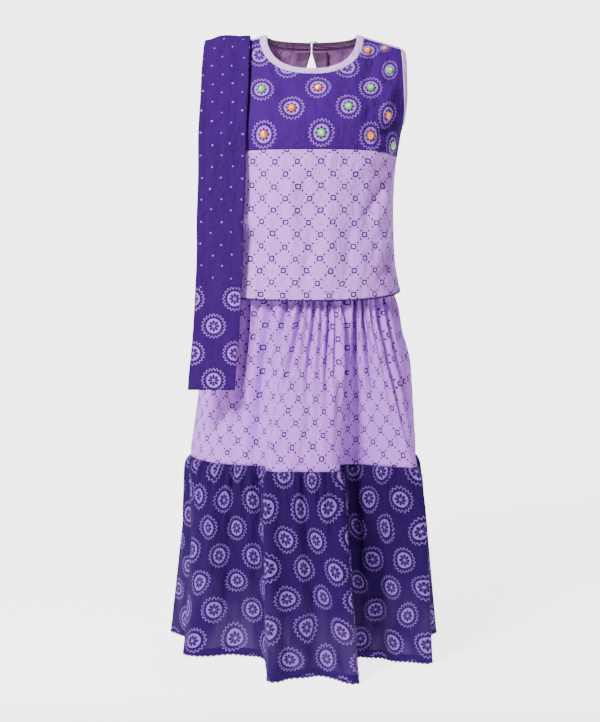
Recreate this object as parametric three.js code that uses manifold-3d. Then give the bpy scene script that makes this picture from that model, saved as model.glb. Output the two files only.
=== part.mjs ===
// A child's ghagra choli: a sleeveless choli, a two-tier gathered ghagra and a folded dupatta
// over the wearer's right shoulder, filled out as if worn, hollow inside.
// Millimetres, +Z up, the front faces -Y and the wearer's left is +X.
// The origin lies between the two shoulders, on the line that the shoulder seams follow.

import * as THREE from 'three';
import Module from 'manifold-3d';

// ---------------------------------------------------------------- driving sizes

const CLOTH = 1.3;               // wall of a single cloth panel
const BINDING = 1.9;             // wall of a folded binding
const SEAM = 0.4;                // gap between two pieces that are sewn together
const SEAT = 0.35;               // gap between a piece and the one that it lies on

const NECK_HALF_WIDTH = 71;      // raw neck edge of the panels, under the binding's outer edge
const NECK_DROP_FRONT = 59;
const NECK_DROP_BACK = 17;
const NECK_ROUND = 0.87;         // power of sine and cosine along the neckline
const NECK_BINDING_WIDTH = 10;
const SHOULDER_HALF_WIDTH = 121;
const SHOULDER_SLOPE = 0.29;     // fall per millimetre beyond SHOULDER_INNER
const SHOULDER_INNER = 60;
const UNDERARM = -131;
const YOKE_SEAM_FRONT = -162;
const YOKE_SEAM_SIDE = -172;
const CHOLI_HEM_FRONT = -361;
const CHOLI_HEM_SIDE = -347;
const CHOLI_HEM_BACK = -358;
const HEM_RISE = 2.2;            // power of the share along which the hem rises to the sides
const YOKE_FALL = 2.6;           // power of the share along which the yoke seam falls
const ARMHOLE_BINDING = 8;

const WAIST = -262;              // top of the ghagra's waistband
const WAISTBAND_HEIGHT = 28;
const TIER_SEAM = -583;
const HEM = -846;
const WAIST_GATHERS = 28;
const FLOUNCE_GATHERS = 56;

const DUPATTA_THICKNESS = 7;
const DUPATTA_FRONT_END = -480;
const DUPATTA_BACK_END = -500;

const LILAC = { color: 0xc8aad7, roughness: 0.85, metalness: 0 };
const PURPLE = { color: 0x4c2f92, roughness: 0.8, metalness: 0 };
const PALE = { color: 0xd7c3e6, roughness: 0.85, metalness: 0 };
const STONE_GREEN = { color: 0x8fe08a, roughness: 0.3, metalness: 0 };
const STONE_ORANGE = { color: 0xf08a3c, roughness: 0.3, metalness: 0 };

// ---------------------------------------------------------------- small maths

const clamp = (x, low, high) => Math.min(Math.max(x, low), high);
const mix = (a, b, t) => a + (b - a) * t;
const smooth = (t) => clamp(t, 0, 1) ** 2 * (3 - 2 * clamp(t, 0, 1));
const spread = (count) => Array.from({ length: count + 1 }, (_, i) => i / count);

// Reads a column of a table at height z, straight between its rows, which run downwards.
function column(rows, name, z) {
  const last = rows.length - 1;
  if (z >= rows[0].z) return rows[0][name];
  if (z <= rows[last].z) return rows[last][name];
  const i = rows.findIndex((row) => row.z < z) - 1;
  const t = (rows[i].z - z) / (rows[i].z - rows[i + 1].z);
  return mix(rows[i][name], rows[i + 1][name], t);
}

// ---------------------------------------------------------------- walls of cloth

function geometryFrom(points, faces) {
  const geometry = new THREE.BufferGeometry();
  const flat = points.flatMap((p) => [p.x, p.y, p.z]);
  geometry.setAttribute('position', new THREE.Float32BufferAttribute(flat, 3));
  geometry.setIndex(faces.flat());
  geometry.computeVertexNormals();
  return geometry;
}

// The outward normal at each point of a grid of rows. Rows run upwards and their points run
// anticlockwise seen from above. Points on the plane y = +-SEAM / 2 belong to side and shoulder
// seams, whose edges stay square to that plane.
function gridNormals(rows, closed) {
  const count = rows[0].length;
  return rows.map((row, j) => row.map((point, i) => {
    const before = closed ? row[(i + count - 1) % count] : row[Math.max(i - 1, 0)];
    const after = closed ? row[(i + 1) % count] : row[Math.min(i + 1, count - 1)];
    const below = rows[Math.max(j - 1, 0)][i];
    const above = rows[Math.min(j + 1, rows.length - 1)][i];
    const along = after.clone().sub(before);
    const normal = along.cross(above.clone().sub(below));
    if (Math.abs(Math.abs(point.y) - SEAM / 2) < 0.01) normal.y = 0;
    return normal.normalize();
  }));
}

// A closed wall: the grid is its outer face, and its inner face lies thickness further in.
function wall(rows, thickness, closed) {
  const count = rows[0].length;
  const normals = gridNormals(rows, closed);
  const outer = rows.flat();
  const inner = rows.flatMap((row, j) => (
    row.map((p, i) => p.clone().addScaledVector(normals[j][i], -thickness))
  ));
  const at = (i, j) => j * count + (i % count);
  const back = outer.length;
  const faces = [];
  const steps = closed ? count : count - 1;
  for (let j = 0; j < rows.length - 1; j += 1) {
    for (let i = 0; i < steps; i += 1) {
      const [a, b, c, d] = [at(i, j), at(i + 1, j), at(i + 1, j + 1), at(i, j + 1)];
      faces.push([a, b, c], [a, c, d]);
      faces.push([back + a, back + c, back + b], [back + a, back + d, back + c]);
    }
  }
  const rim = (a, b) => faces.push([b, a, back + a], [b, back + a, back + b]);
  for (let i = 0; i < steps; i += 1) {
    rim(at(i, 0), at(i + 1, 0));
    rim(at(i + 1, rows.length - 1), at(i, rows.length - 1));
  }
  if (!closed) {
    for (let j = 0; j < rows.length - 1; j += 1) {
      rim(at(0, j + 1), at(0, j));
      rim(at(count - 1, j), at(count - 1, j + 1));
    }
  }
  return geometryFrom([...outer, ...inner], faces);
}

// ---------------------------------------------------------------- the figure under the choli

// One row for each height: half_width, the depths of front and back from the seam plane, and
// how far the body's axis stands to the wearer's left of the ghagra's.
const FIGURE = [
  { z: 10, half_width: 150, front: 91, back: 74, axis: 12.5 },
  { z: -60, half_width: 150, front: 91, back: 74, axis: 12.5 },
  { z: -95, half_width: 143, front: 91, back: 74, axis: 12 },
  { z: -118, half_width: 131, front: 91, back: 74, axis: 11.5 },
  { z: -131, half_width: 124.5, front: 91, back: 74, axis: 11 },
  { z: -145, half_width: 123.5, front: 91, back: 74, axis: 10.5 },
  { z: -173, half_width: 119.5, front: 91, back: 72, axis: 9.5 },
  { z: -198, half_width: 117.5, front: 90, back: 70, axis: 9 },
  { z: -236, half_width: 117, front: 90, back: 70, axis: 8 },
  { z: -281, half_width: 119, front: 91, back: 72, axis: 7 },
  { z: -318, half_width: 122.5, front: 94, back: 76, axis: 6 },
  { z: -347, half_width: 129.5, front: 97, back: 82, axis: 5 },
  { z: -363, half_width: 133, front: 98, back: 84, axis: 5 },
];
const SECTION_POWER = 2.4;
const RIDGE = { front: 18, back: 34, front_fall: 25, back_fall: 40 };
const RAMP_FALL = { front: 140, back: 130 };
const ARMHOLE_SWELL = 1;         // how far the armhole's edge stands out at mid height

const shoulderLine = (x) => -1 - Math.max(Math.abs(x) - SHOULDER_INNER, 0) * SHOULDER_SLOPE;

// Depth of the front or back from the seam plane, at x from the axis and at height z.
function depth(side, x, z) {
  const fall = Math.max(shoulderLine(x) - z, 0);
  const round = Math.sqrt(1 - (1 - Math.min(fall / RIDGE[`${side}_fall`], 1)) ** 2);
  const ramp = smooth(fall / RAMP_FALL[side]);
  const full = column(FIGURE, side, z);
  const reach = RIDGE[side] * round + (full - RIDGE[side]) * ramp;
  const share = Math.min(Math.abs(x) / column(FIGURE, 'half_width', z), 1);
  return reach * (1 - share ** SECTION_POWER) ** (1 / SECTION_POWER);
}

function onFigure(side, x, z) {
  const sign = side === 'front' ? -1 : 1;
  const y = sign * (SEAM / 2 + depth(side, x, z));
  return new THREE.Vector3(x + column(FIGURE, 'axis', z), y, z);
}

// Half-width of the panels: the figure's below the underarm, the armhole's edge above it.
function panelEdge(z) {
  if (z <= UNDERARM) return column(FIGURE, 'half_width', z);
  const rise = (z - UNDERARM) / (shoulderLine(SHOULDER_HALF_WIDTH) - UNDERARM);
  const straight = mix(column(FIGURE, 'half_width', UNDERARM), SHOULDER_HALF_WIDTH, rise);
  return straight + ARMHOLE_SWELL * Math.sin(Math.PI * clamp(rise, 0, 1)) * 0.5;
}

// A column of a panel is named by its share u: 0 at the centre, 1 at the edge, negative right.
const NECK_SHARE = 0.5;          // columns inside this share end on the neckline
const angleShare = (u) => Math.sign(u) * Math.sin(Math.abs(u) * Math.PI / 2) ** (2 / SECTION_POWER);

function topPoint(side, u) {
  const share = Math.abs(u);
  const drop = side === 'front' ? NECK_DROP_FRONT : NECK_DROP_BACK;
  if (share >= NECK_SHARE) {
    const x = mix(NECK_HALF_WIDTH, SHOULDER_HALF_WIDTH, (share - NECK_SHARE) / (1 - NECK_SHARE));
    return { x: Math.sign(u) * x, z: shoulderLine(x) };
  }
  const turn = (share / NECK_SHARE) * Math.PI / 2;
  const x = NECK_HALF_WIDTH * Math.sin(turn) ** NECK_ROUND;
  const z = shoulderLine(NECK_HALF_WIDTH);
  return { x: Math.sign(u) * x, z: z - (drop + z) * Math.cos(turn) ** NECK_ROUND };
}

const hemLevel = (side, u) => {
  const centre = side === 'front' ? CHOLI_HEM_FRONT : CHOLI_HEM_BACK;
  return mix(centre, CHOLI_HEM_SIDE, Math.abs(u) ** HEM_RISE);
};
const yokeLevel = (u) => mix(YOKE_SEAM_FRONT, YOKE_SEAM_SIDE, Math.abs(u) ** YOKE_FALL);

// A point above the yoke seam: v runs from 0 on the seam's line to 1 on neckline or shoulder.
function upperPoint(side, u, v) {
  const top = topPoint(side, u);
  const z = mix(yokeLevel(u), top.z, v);
  const edge = panelEdge(z);
  const body = edge * angleShare(u);
  const strap = top.x * edge / panelEdge(topPoint(side, 1).z);
  return onFigure(side, mix(body, strap, smooth(v)), z);
}

function lowerPoint(side, u, v) {
  const z = mix(hemLevel(side, u), yokeLevel(u), v);
  return onFigure(side, panelEdge(z) * angleShare(u), z);
}

// ---------------------------------------------------------------- choli panels

// Shares from edge to edge, with a column at each neck point.
const NECK_COLUMNS = spread(7).map((t) => t * NECK_SHARE);
const STRAP_COLUMNS = spread(6).slice(1).map((t) => mix(NECK_SHARE, 1, t));
const HALF = [...NECK_COLUMNS, ...STRAP_COLUMNS];
const ACROSS = [...HALF.slice(1).reverse().map((u) => -u), ...HALF];
const underarmShare = (UNDERARM - YOKE_SEAM_SIDE)
  / (shoulderLine(SHOULDER_HALF_WIDTH) - YOKE_SEAM_SIDE);
const ARMHOLE_LEVELS = [underarmShare + 0.03, underarmShare + 0.09, 0.47, 0.61, 0.75, 0.87, 0.95];
const UPWARDS = [0, underarmShare / 2, underarmShare, ...ARMHOLE_LEVELS, 1];

// The front's points run towards +X and the back's towards -X, so that both face outwards.
const facing = (side) => (side === 'front' ? ACROSS : [...ACROSS].reverse());
const upperRows = (side) => UPWARDS.map((v) => facing(side).map((u) => upperPoint(side, u, v)));
const lowerRows = (side, levels, to) => levels.map((v) => (
  facing(side).map((u) => lowerPoint(side, u, Math.min(v, to)))
));

const yokeHeight = YOKE_SEAM_FRONT - CHOLI_HEM_FRONT;
const seamShare = SEAM / yokeHeight;
const frontYoke = wall(upperRows('front'), CLOTH, false);
const frontBody = wall(lowerRows('front', spread(5), 1 - seamShare), CLOTH, false);
const backRows = [...lowerRows('back', spread(5).slice(0, -1), 1), ...upperRows('back')];
const backUncut = wall(backRows, CLOTH, false);

// ---------------------------------------------------------------- centre-back keyhole

const wasm = await Module();
wasm.setup();

function toSolid(geometry) {
  const position = geometry.getAttribute('position').array;
  const mesh = new wasm.Mesh({
    numProp: 3,
    vertProperties: new Float32Array(position),
    triVerts: new Uint32Array(geometry.getIndex().array),
  });
  return new wasm.Manifold(mesh);
}

function fromSolid(solid) {
  const { vertProperties, triVerts } = solid.getMesh();
  const geometry = new THREE.BufferGeometry();
  geometry.setAttribute('position', new THREE.Float32BufferAttribute(vertProperties, 3));
  geometry.setIndex([...triVerts]);
  geometry.computeVertexNormals();
  return geometry;
}

// Half-width of the slit: shut at the neck, then a tear-shaped gap with a round foot.
const SLIT = { shut: -22, foot: -92, half_gap: 0.6, half_width: 8, widest: 0.7 };
function slitHalfWidth(z) {
  const t = (SLIT.shut - z) / (SLIT.shut - SLIT.foot);
  if (t <= 0) return SLIT.half_gap;
  if (t >= 1) return 0;
  const tear = t < SLIT.widest
    ? Math.sin((t / SLIT.widest) * Math.PI / 2)
    : Math.sqrt(1 - ((t - SLIT.widest) / (1 - SLIT.widest)) ** 2);
  return Math.max(SLIT.half_width * tear, t < SLIT.widest ? SLIT.half_gap : 0);
}

const slitLevels = [5, ...spread(12).map((t) => mix(SLIT.shut, SLIT.foot, t))];
const slitSide = (sign) => slitLevels.map((z) => (
  [column(FIGURE, 'axis', z) + sign * slitHalfWidth(z), z]
));

// A prism along +Y through the slit's outline.
function slitPrism() {
  const left = slitSide(-1);
  const right = slitSide(1).slice(0, -1).reverse();
  const outline = new THREE.Shape([...left, ...right].map(([x, z]) => new THREE.Vector2(x, z)));
  const prism = new THREE.ExtrudeGeometry(outline, { depth: 120, bevelEnabled: false });
  prism.rotateX(Math.PI / 2);
  prism.translate(0, 125, 0);
  prism.deleteAttribute('normal');
  prism.deleteAttribute('uv');
  return mergeByPosition(prism);
}

// Joins the vertices that share a place, so that the mesh is closed.
function mergeByPosition(geometry) {
  const source = geometry.getAttribute('position');
  const seen = new Map();
  const points = [];
  const index = [];
  for (let i = 0; i < source.count; i += 1) {
    const point = new THREE.Vector3().fromBufferAttribute(source, i);
    const key = point.toArray().map((n) => Math.round(n * 1e4)).join();
    if (!seen.has(key)) {
      seen.set(key, points.length);
      points.push(point);
    }
    index.push(seen.get(key));
  }
  const corners = geometry.getIndex() ? [...geometry.getIndex().array].map((i) => index[i]) : index;
  return geometryFrom(points, [corners]);
}

const back = fromSolid(toSolid(backUncut).subtract(toSolid(slitPrism())));

// Facings: straight strips inside the back, one on each side of the slit.
const FACING_WIDTH = 15;
const FACING_WALL = 1.0;
const FACING_LEVELS = spread(7).map((t) => mix(SLIT.foot - 8, -NECK_DROP_BACK - 2, t));

function facingStrip(sign) {
  const rows = FACING_LEVELS.map((z) => {
    const start = Math.max(slitHalfWidth(z), SEAM / 2) + 0.2;
    const shares = sign > 0 ? [1, 0.5, 0] : [0, 0.5, 1];
    return shares.map((t) => {
      const point = onFigure('back', sign * mix(start, FACING_WIDTH, t), z);
      const ahead = onFigure('back', sign * mix(start, FACING_WIDTH, t), z + 1);
      const lean = new THREE.Vector3(0, ahead.z - point.z, point.y - ahead.y).normalize();
      return point.addScaledVector(lean, -(CLOTH + SEAT + 0.3));
    });
  });
  return wall(rows, FACING_WALL, false);
}

// ---------------------------------------------------------------- bindings

// The outward direction of the figure's face, from steps towards its middle.
function figureNormal(side, x, z) {
  const here = onFigure(side, x, z);
  const inward = x >= 0 ? -1 : 1;
  const across = onFigure(side, x + inward, z).sub(here).multiplyScalar(inward);
  const up = here.clone().sub(onFigure(side, x, z - 1));
  const normal = across.cross(up).normalize();
  return side === 'front' ? normal : normal.negate();
}

// The raw neck edge at a turn: 0 is the centre front, PI / 2 the left shoulder, PI the back.
function neckEdge(turn) {
  const side = Math.cos(turn) >= 0 ? 'front' : 'back';
  const fromFront = turn > Math.PI ? turn - 2 * Math.PI : turn;
  const half_turns = (side === 'front' ? fromFront : Math.PI - turn) / Math.PI;
  const top = topPoint(side, clamp(half_turns * 2, -1, 1) * NECK_SHARE);
  return { side, x: top.x, z: top.z, point: onFigure(side, top.x, top.z) };
}

// The neck binding goes on from the panels' faces, from the slit round the front to the slit.
const NECK_END = 0.06;           // left open at the slit on each side, in radians
const ACROSS_BINDING = [0, 0.5, 1];
const BINDING_CROWN = 0.35;
function neckBindingRows() {
  const quarter = NECK_COLUMNS.map((u) => (u / NECK_SHARE) * Math.PI / 2);
  const steps = [0, 1, 2, 3].flatMap((k) => (
    (k % 2 ? quarter.map((t) => Math.PI / 2 - t).reverse() : quarter).slice(k ? 1 : 0)
      .map((t) => k * Math.PI / 2 + t)
  ));
  const turns = steps.map((t) => Math.PI + clamp(t, NECK_END, 2 * Math.PI - NECK_END));
  return ACROSS_BINDING.map((across) => turns.map((turn) => {
    const angle = turn % (2 * Math.PI);
    const edge = neckEdge(angle);
    const along = neckEdge(angle + 0.02).point.sub(neckEdge(angle - 0.02).point);
    const normal = figureNormal(edge.side, edge.x, edge.z);
    const step = normal.clone().cross(along).normalize();
    const point = edge.point.addScaledVector(step, 2 * SEAM + across * NECK_BINDING_WIDTH);
    return point.addScaledVector(normal, across === 0.5 ? BINDING_CROWN : 0);
  }));
}

// An armhole's binding: a closed band that goes on from the panels' edges and turns in.
const ARMHOLE_TURN_IN = 0.55;
function armholeBindingRows(sign) {
  const edgeAt = (side, v) => {
    const point = upperPoint(side, sign, v);
    const x = point.x - column(FIGURE, 'axis', point.z);
    return { point, normal: figureNormal(side, x, point.z) };
  };
  const top = edgeAt('front', 1);
  const foot = edgeAt('front', underarmShare);
  top.point.y = 0;
  foot.point.y = 0;
  top.normal.setY(0).normalize();
  foot.normal.setY(0).normalize();
  const front = ARMHOLE_LEVELS.map((v) => edgeAt('front', v));
  const rear = ARMHOLE_LEVELS.map((v) => edgeAt('back', v)).reverse();
  const loop = [foot, ...front, top, ...rear];
  const ordered = sign > 0 ? loop.reverse() : loop;
  const count = ordered.length;
  const middle = mix(UNDERARM, shoulderLine(SHOULDER_HALF_WIDTH), 0.5);
  return ACROSS_BINDING.map((across) => ordered.map(({ point, normal }, i) => {
    const along = ordered[(i + 1) % count].point.clone()
      .sub(ordered[(i + count - 1) % count].point);
    const onwards = normal.clone().cross(along).normalize();
    const inward = new THREE.Vector3(0, -point.y, middle - point.z).normalize();
    const step = onwards.clone().addScaledVector(inward, ARMHOLE_TURN_IN).normalize();
    return point.clone()
      .addScaledVector(onwards, SEAM + BINDING * 0.6)
      .addScaledVector(step, across * ARMHOLE_BINDING);
  }));
}

// ---------------------------------------------------------------- ghagra

// One row for each crest and trough, round from the centre front towards the wearer's left.
// The turns are in degrees and the reaches from the axis, at the hip, tier seam and hem.
const FOLDS = [
  { hip_turn: -8, hip: 103, seam_turn: -18, seam: 144, hem_turn: -12, hem: 195 },
  { hip_turn: 8, hip: 106, seam_turn: 0, seam: 143, hem_turn: 6, hem: 170 },
  { hip_turn: 24, hip: 110, seam_turn: 18, seam: 143, hem_turn: 20, hem: 210 },
  { hip_turn: 38, hip: 100, seam_turn: 37, seam: 98, hem_turn: 39, hem: 112 },
  { hip_turn: 52, hip: 117, seam_turn: 54, seam: 181, hem_turn: 56, hem: 202 },
  { hip_turn: 74, hip: 133, seam_turn: 78, seam: 155, hem_turn: 82, hem: 156 },
  { hip_turn: 98, hip: 138, seam_turn: 100, seam: 160, hem_turn: 104, hem: 198 },
  { hip_turn: 121, hip: 114, seam_turn: 124, seam: 132, hem_turn: 126, hem: 148 },
  { hip_turn: 141, hip: 104, seam_turn: 143, seam: 146, hem_turn: 145, hem: 186 },
  { hip_turn: 161, hip: 90, seam_turn: 163, seam: 120, hem_turn: 165, hem: 140 },
  { hip_turn: 182, hip: 94, seam_turn: 183, seam: 138, hem_turn: 184, hem: 180 },
  { hip_turn: 202, hip: 92, seam_turn: 203, seam: 118, hem_turn: 203, hem: 142 },
  { hip_turn: 221, hip: 106, seam_turn: 222, seam: 146, hem_turn: 222, hem: 187 },
  { hip_turn: 240, hip: 110, seam_turn: 240, seam: 134, hem_turn: 239, hem: 152 },
  { hip_turn: 260, hip: 132, seam_turn: 258, seam: 159, hem_turn: 256, hem: 196 },
  { hip_turn: 280, hip: 130, seam_turn: 277, seam: 153, hem_turn: 274, hem: 148 },
  { hip_turn: 301, hip: 112, seam_turn: 299, seam: 137, hem_turn: 295, hem: 178 },
  { hip_turn: 318, hip: 104, seam_turn: 318, seam: 119, hem_turn: 312, hem: 113 },
  { hip_turn: 335, hip: 100, seam_turn: 332, seam: 111, hem_turn: 332, hem: 110 },
];
const BAND_FOOT = WAIST - WAISTBAND_HEIGHT;
const HIP = -382;
const HIP_AXIS = 4;              // the ring at the hip stands this far to the wearer's left
const WAIST_RING = { half_width: 97, front: 76, back: 66, axis: 6 };

const foldPoint = (turn, reach, shift) => {
  const angle = THREE.MathUtils.degToRad(turn);
  return [shift + reach * Math.sin(angle), -reach * Math.cos(angle)];
};

// Where each crest and trough lies at height z.
function foldPoints(z) {
  return FOLDS.map((fold) => {
    const hip = foldPoint(fold.hip_turn, fold.hip, HIP_AXIS);
    if (z >= HIP) {
      const angle = Math.atan2(hip[0] - HIP_AXIS, -hip[1]);
      const rear = Math.cos(angle) < 0 ? WAIST_RING.back : WAIST_RING.front;
      const waist = [
        WAIST_RING.axis + WAIST_RING.half_width * Math.sin(angle),
        -rear * Math.cos(angle),
      ];
      const t = Math.sin(clamp((BAND_FOOT - z) / (BAND_FOOT - HIP), 0, 1) * Math.PI / 2);
      return [mix(waist[0], hip[0], t), mix(waist[1], hip[1], t)];
    }
    const seam = foldPoint(fold.seam_turn, fold.seam, 0);
    if (z >= TIER_SEAM) {
      const t = (HIP - z) / (HIP - TIER_SEAM);
      return [mix(hip[0], seam[0], t), mix(hip[1], seam[1], t)];
    }
    const hem = foldPoint(fold.hem_turn, fold.hem, 0);
    const t = ((TIER_SEAM - z) / (TIER_SEAM - HEM)) ** 0.9;
    return [mix(seam[0], hem[0], t), mix(seam[1], hem[1], t)];
  });
}

// A closed, evenly weighted Catmull-Rom curve through the folds, at a place counted in folds.
function foldCurve(points, place) {
  const count = points.length;
  const i = Math.floor(place);
  const t = place - i;
  const [a, b, c, d] = [-1, 0, 1, 2].map((k) => points[(i + k + count) % count]);
  return [0, 1].map((k) => 0.5 * (2 * b[k] + (c[k] - a[k]) * t
    + (2 * a[k] - 5 * b[k] + 4 * c[k] - d[k]) * t ** 2
    + (3 * b[k] - a[k] - 3 * c[k] + d[k]) * t ** 3));
}

// Places that divide the ring at height z into equal lengths of cloth.
function evenPlaces(z, count) {
  const points = foldPoints(z);
  const fine = spread(FOLDS.length * 24).slice(0, -1).map((t) => t * FOLDS.length);
  const lengths = [0];
  fine.forEach((place, i) => {
    const from = foldCurve(points, place);
    const to = foldCurve(points, fine[(i + 1) % fine.length]);
    lengths.push(lengths[i] + Math.hypot(to[0] - from[0], to[1] - from[1]));
  });
  const total = lengths[fine.length];
  return spread(count).slice(0, -1).map((t) => {
    const i = lengths.findIndex((length) => length > t * total) - 1;
    const part = (t * total - lengths[i]) / (lengths[i + 1] - lengths[i]);
    return (i + part) * FOLDS.length / fine.length;
  });
}

// How far out a point lies, from 0 on the choli's axis to 1 on its outer face.
function choliShare(x, y, z) {
  const side = y < 0 ? 'front' : 'back';
  const across = Math.abs(x) / column(FIGURE, 'half_width', z);
  const forward = Math.abs(y) / column(FIGURE, side, z);
  return (across ** SECTION_POWER + forward ** SECTION_POWER) ** (1 / SECTION_POWER);
}

// The choli's hem above or below a point of the ghagra.
function hemOver(x, y) {
  const side = y < 0 ? 'front' : 'back';
  const share = clamp(Math.abs(x) / column(FIGURE, 'half_width', CHOLI_HEM_SIDE), 0, 1);
  return hemLevel(side, Math.asin(share ** (SECTION_POWER / 2)) * 2 / Math.PI);
}

// One ring of gathered cloth: height z, and waves of the given height along the ring's normal.
function gatheredRing(z, places, gathers, wave, puff) {
  const points = foldPoints(z);
  const count = places.length;
  const ring = places.map((place) => foldCurve(points, place));
  return ring.map(([x, y], i) => {
    const before = ring[(i + count - 1) % count];
    const after = ring[(i + 1) % count];
    const normal = new THREE.Vector2(after[1] - before[1], before[0] - after[0]).normalize();
    const turn = (i / count) * 2 * Math.PI;
    const uneven = 0.75 + 0.25 * Math.sin(5 * turn + 1) + 0.15 * Math.sin(11 * turn);
    const out = puff + wave * uneven * Math.cos(gathers * turn);
    const point = new THREE.Vector3(x + normal.x * out, y + normal.y * out, z);
    return insideCholi(point);
  });
}

// Keeps the ghagra's top inside the choli, near its inner face, until it is past the hem.
const CHOLI_CLEARANCE = CLOTH + 1.1;
const PAST_HEM = 12;
function insideCholi(point) {
  const axis = column(FIGURE, 'axis', point.z);
  const x = point.x - axis;
  const hem = hemOver(x, point.y);
  const reach = Math.hypot(x, point.y);
  const level = Math.max(point.z, hem);
  const past = Math.max(hem - PAST_HEM - point.z, 0);
  const limit = reach / choliShare(x, point.y, level) - CHOLI_CLEARANCE + past;
  if (reach <= limit) return point;
  return new THREE.Vector3(axis + x * limit / reach, point.y * limit / reach, point.z);
}

const fade = (distance, length) => Math.exp(-distance / length);

function waistbandRows() {
  const places = evenPlaces(WAIST, 40);
  return [BAND_FOOT, WAIST].map((z) => gatheredRing(z, places, 1, 0, 0));
}

const UPPER_TIER_TOP = BAND_FOOT - SEAM;
const UPPER_LEVELS = [TIER_SEAM + SEAM / 2, -525, -450, -400, -371, -351, -328, UPPER_TIER_TOP];
function upperTierRows() {
  const places = evenPlaces(TIER_SEAM, WAIST_GATHERS * 4);
  return UPPER_LEVELS.map((z) => {
    const wave = 3.6 * fade(UPPER_TIER_TOP - z, 110);
    return gatheredRing(z, places, WAIST_GATHERS, wave, 0);
  });
}

const FLOUNCE_TOP = TIER_SEAM - SEAM / 2;
const FLOUNCE_LEVELS = [HEM, -762, -681, -628, -598, FLOUNCE_TOP];
function lowerTierRows() {
  const places = evenPlaces(mix(TIER_SEAM, HEM, 0.5), FLOUNCE_GATHERS * 4);
  return FLOUNCE_LEVELS.map((z) => {
    const below = FLOUNCE_TOP - z;
    const wave = 2.3 * fade(below, 45);
    const puff = 5 * (1 - fade(below, 6)) * fade(below, 130);
    return gatheredRing(z, places, FLOUNCE_GATHERS, wave, puff);
  });
}

// ---------------------------------------------------------------- dupatta

// Half of the folded strip's section: layers show as ridges along both of its edges.
const LAYERS = 3;
const EDGE_ROUND = 2.2;
function stripSection(width, thickness) {
  const points = [];
  const edge = (sign) => {
    for (let layer = 0; layer < LAYERS; layer += 1) {
      const top = thickness * (0.5 - layer / LAYERS);
      const bottom = thickness * (0.5 - (layer + 1) / LAYERS);
      const inset = layer === 1 ? 0 : EDGE_ROUND * 0.5;
      points.push([sign * (width / 2 - EDGE_ROUND), sign * top]);
      points.push([sign * (width / 2 - inset * 0.4), sign * (top * 0.6 + bottom * 0.4)]);
    }
    points.push([sign * (width / 2 - EDGE_ROUND), -sign * thickness * 0.5]);
  };
  edge(1);
  edge(-1);
  return points;
}

// The hanging ends: height, distance from the seam plane, and the strip's two edges.
const FRONT_FALL = [
  { z: DUPATTA_FRONT_END, y: -98, left: -152, right: -89 },
  { z: -440, y: -97, left: -149, right: -87 },
  { z: -400, y: -96, left: -146, right: -84.5 },
  { z: -366, y: -93, left: -143.5, right: -82 },
  { z: -300, y: -87, left: -141, right: -79 },
  { z: -230, y: -82, left: -139, right: -76.5 },
];
const BACK_FALL = [
  { z: -230, y: 66, left: -139, right: -76.5 },
  { z: -300, y: 74, left: -141, right: -79 },
  { z: -366, y: 87, left: -143.5, right: -82 },
  { z: -430, y: 101, left: -147, right: -86 },
  { z: DUPATTA_BACK_END, y: 114, left: -150, right: -90 },
];

// Over the shoulder the strip rests with its inner edge on the panels, moved out from them.
const CONTACT = -84;             // the panels' place under the strip's inner edge, from the axis
const REST_LEVELS = [-170, -140, -115, -92, -72, -54, -38, -26, -17, -11];
const REST_EDGES = { left_low: -138.5, left_top: -135, right_low: -75, right_top: -70.5 };
function restStation(side, z) {
  const normal = figureNormal(side, CONTACT, z);
  const lift = DUPATTA_THICKNESS / 2 + SEAT + 0.4;
  const out = new THREE.Vector2(normal.y, normal.z).normalize().multiplyScalar(lift);
  const t = smooth((z - REST_LEVELS[0]) / -REST_LEVELS[0]);
  return {
    y: onFigure(side, CONTACT, z).y + out.x,
    z: z + out.y,
    left: mix(REST_EDGES.left_low, REST_EDGES.left_top, t),
    right: mix(REST_EDGES.right_low, REST_EDGES.right_top, t),
  };
}

function dupattaRoute() {
  const top = {
    y: 0,
    z: shoulderLine(CONTACT) + DUPATTA_THICKNESS / 2 + SEAT + 0.4,
    left: REST_EDGES.left_top,
    right: REST_EDGES.right_top,
  };
  const front = REST_LEVELS.map((z) => restStation('front', z));
  const rear = REST_LEVELS.map((z) => restStation('back', z)).reverse();
  return [...FRONT_FALL, ...front, top, ...rear, ...BACK_FALL];
}

const CUT_FRONT = 13;            // stations where the shoulder stretch begins and ends
const CUT_BACK = 20;

// Lays the section across a stretch of the route, square to it. Where the stretch is cut from
// the next one, its end stops half a seam short.
function strip(route, from, to, thickness) {
  const rings = route.slice(from, to + 1).map((row, k) => {
    const i = from + k;
    const before = route[Math.max(i - 1, 0)];
    const after = route[Math.min(i + 1, route.length - 1)];
    const along = new THREE.Vector2(after.y - before.y, after.z - before.z).normalize();
    const short = (i === from && i > 0 ? 1 : 0) - (i === to && i < route.length - 1 ? 1 : 0);
    const section = stripSection(row.right - row.left, thickness);
    const middle = (row.left + row.right) / 2;
    return section.map(([x, out]) => new THREE.Vector3(
      middle + x,
      row.y - out * along.y + short * along.x * SEAM / 2,
      row.z + out * along.x + short * along.y * SEAM / 2,
    ));
  });
  return tube(rings);
}

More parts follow.
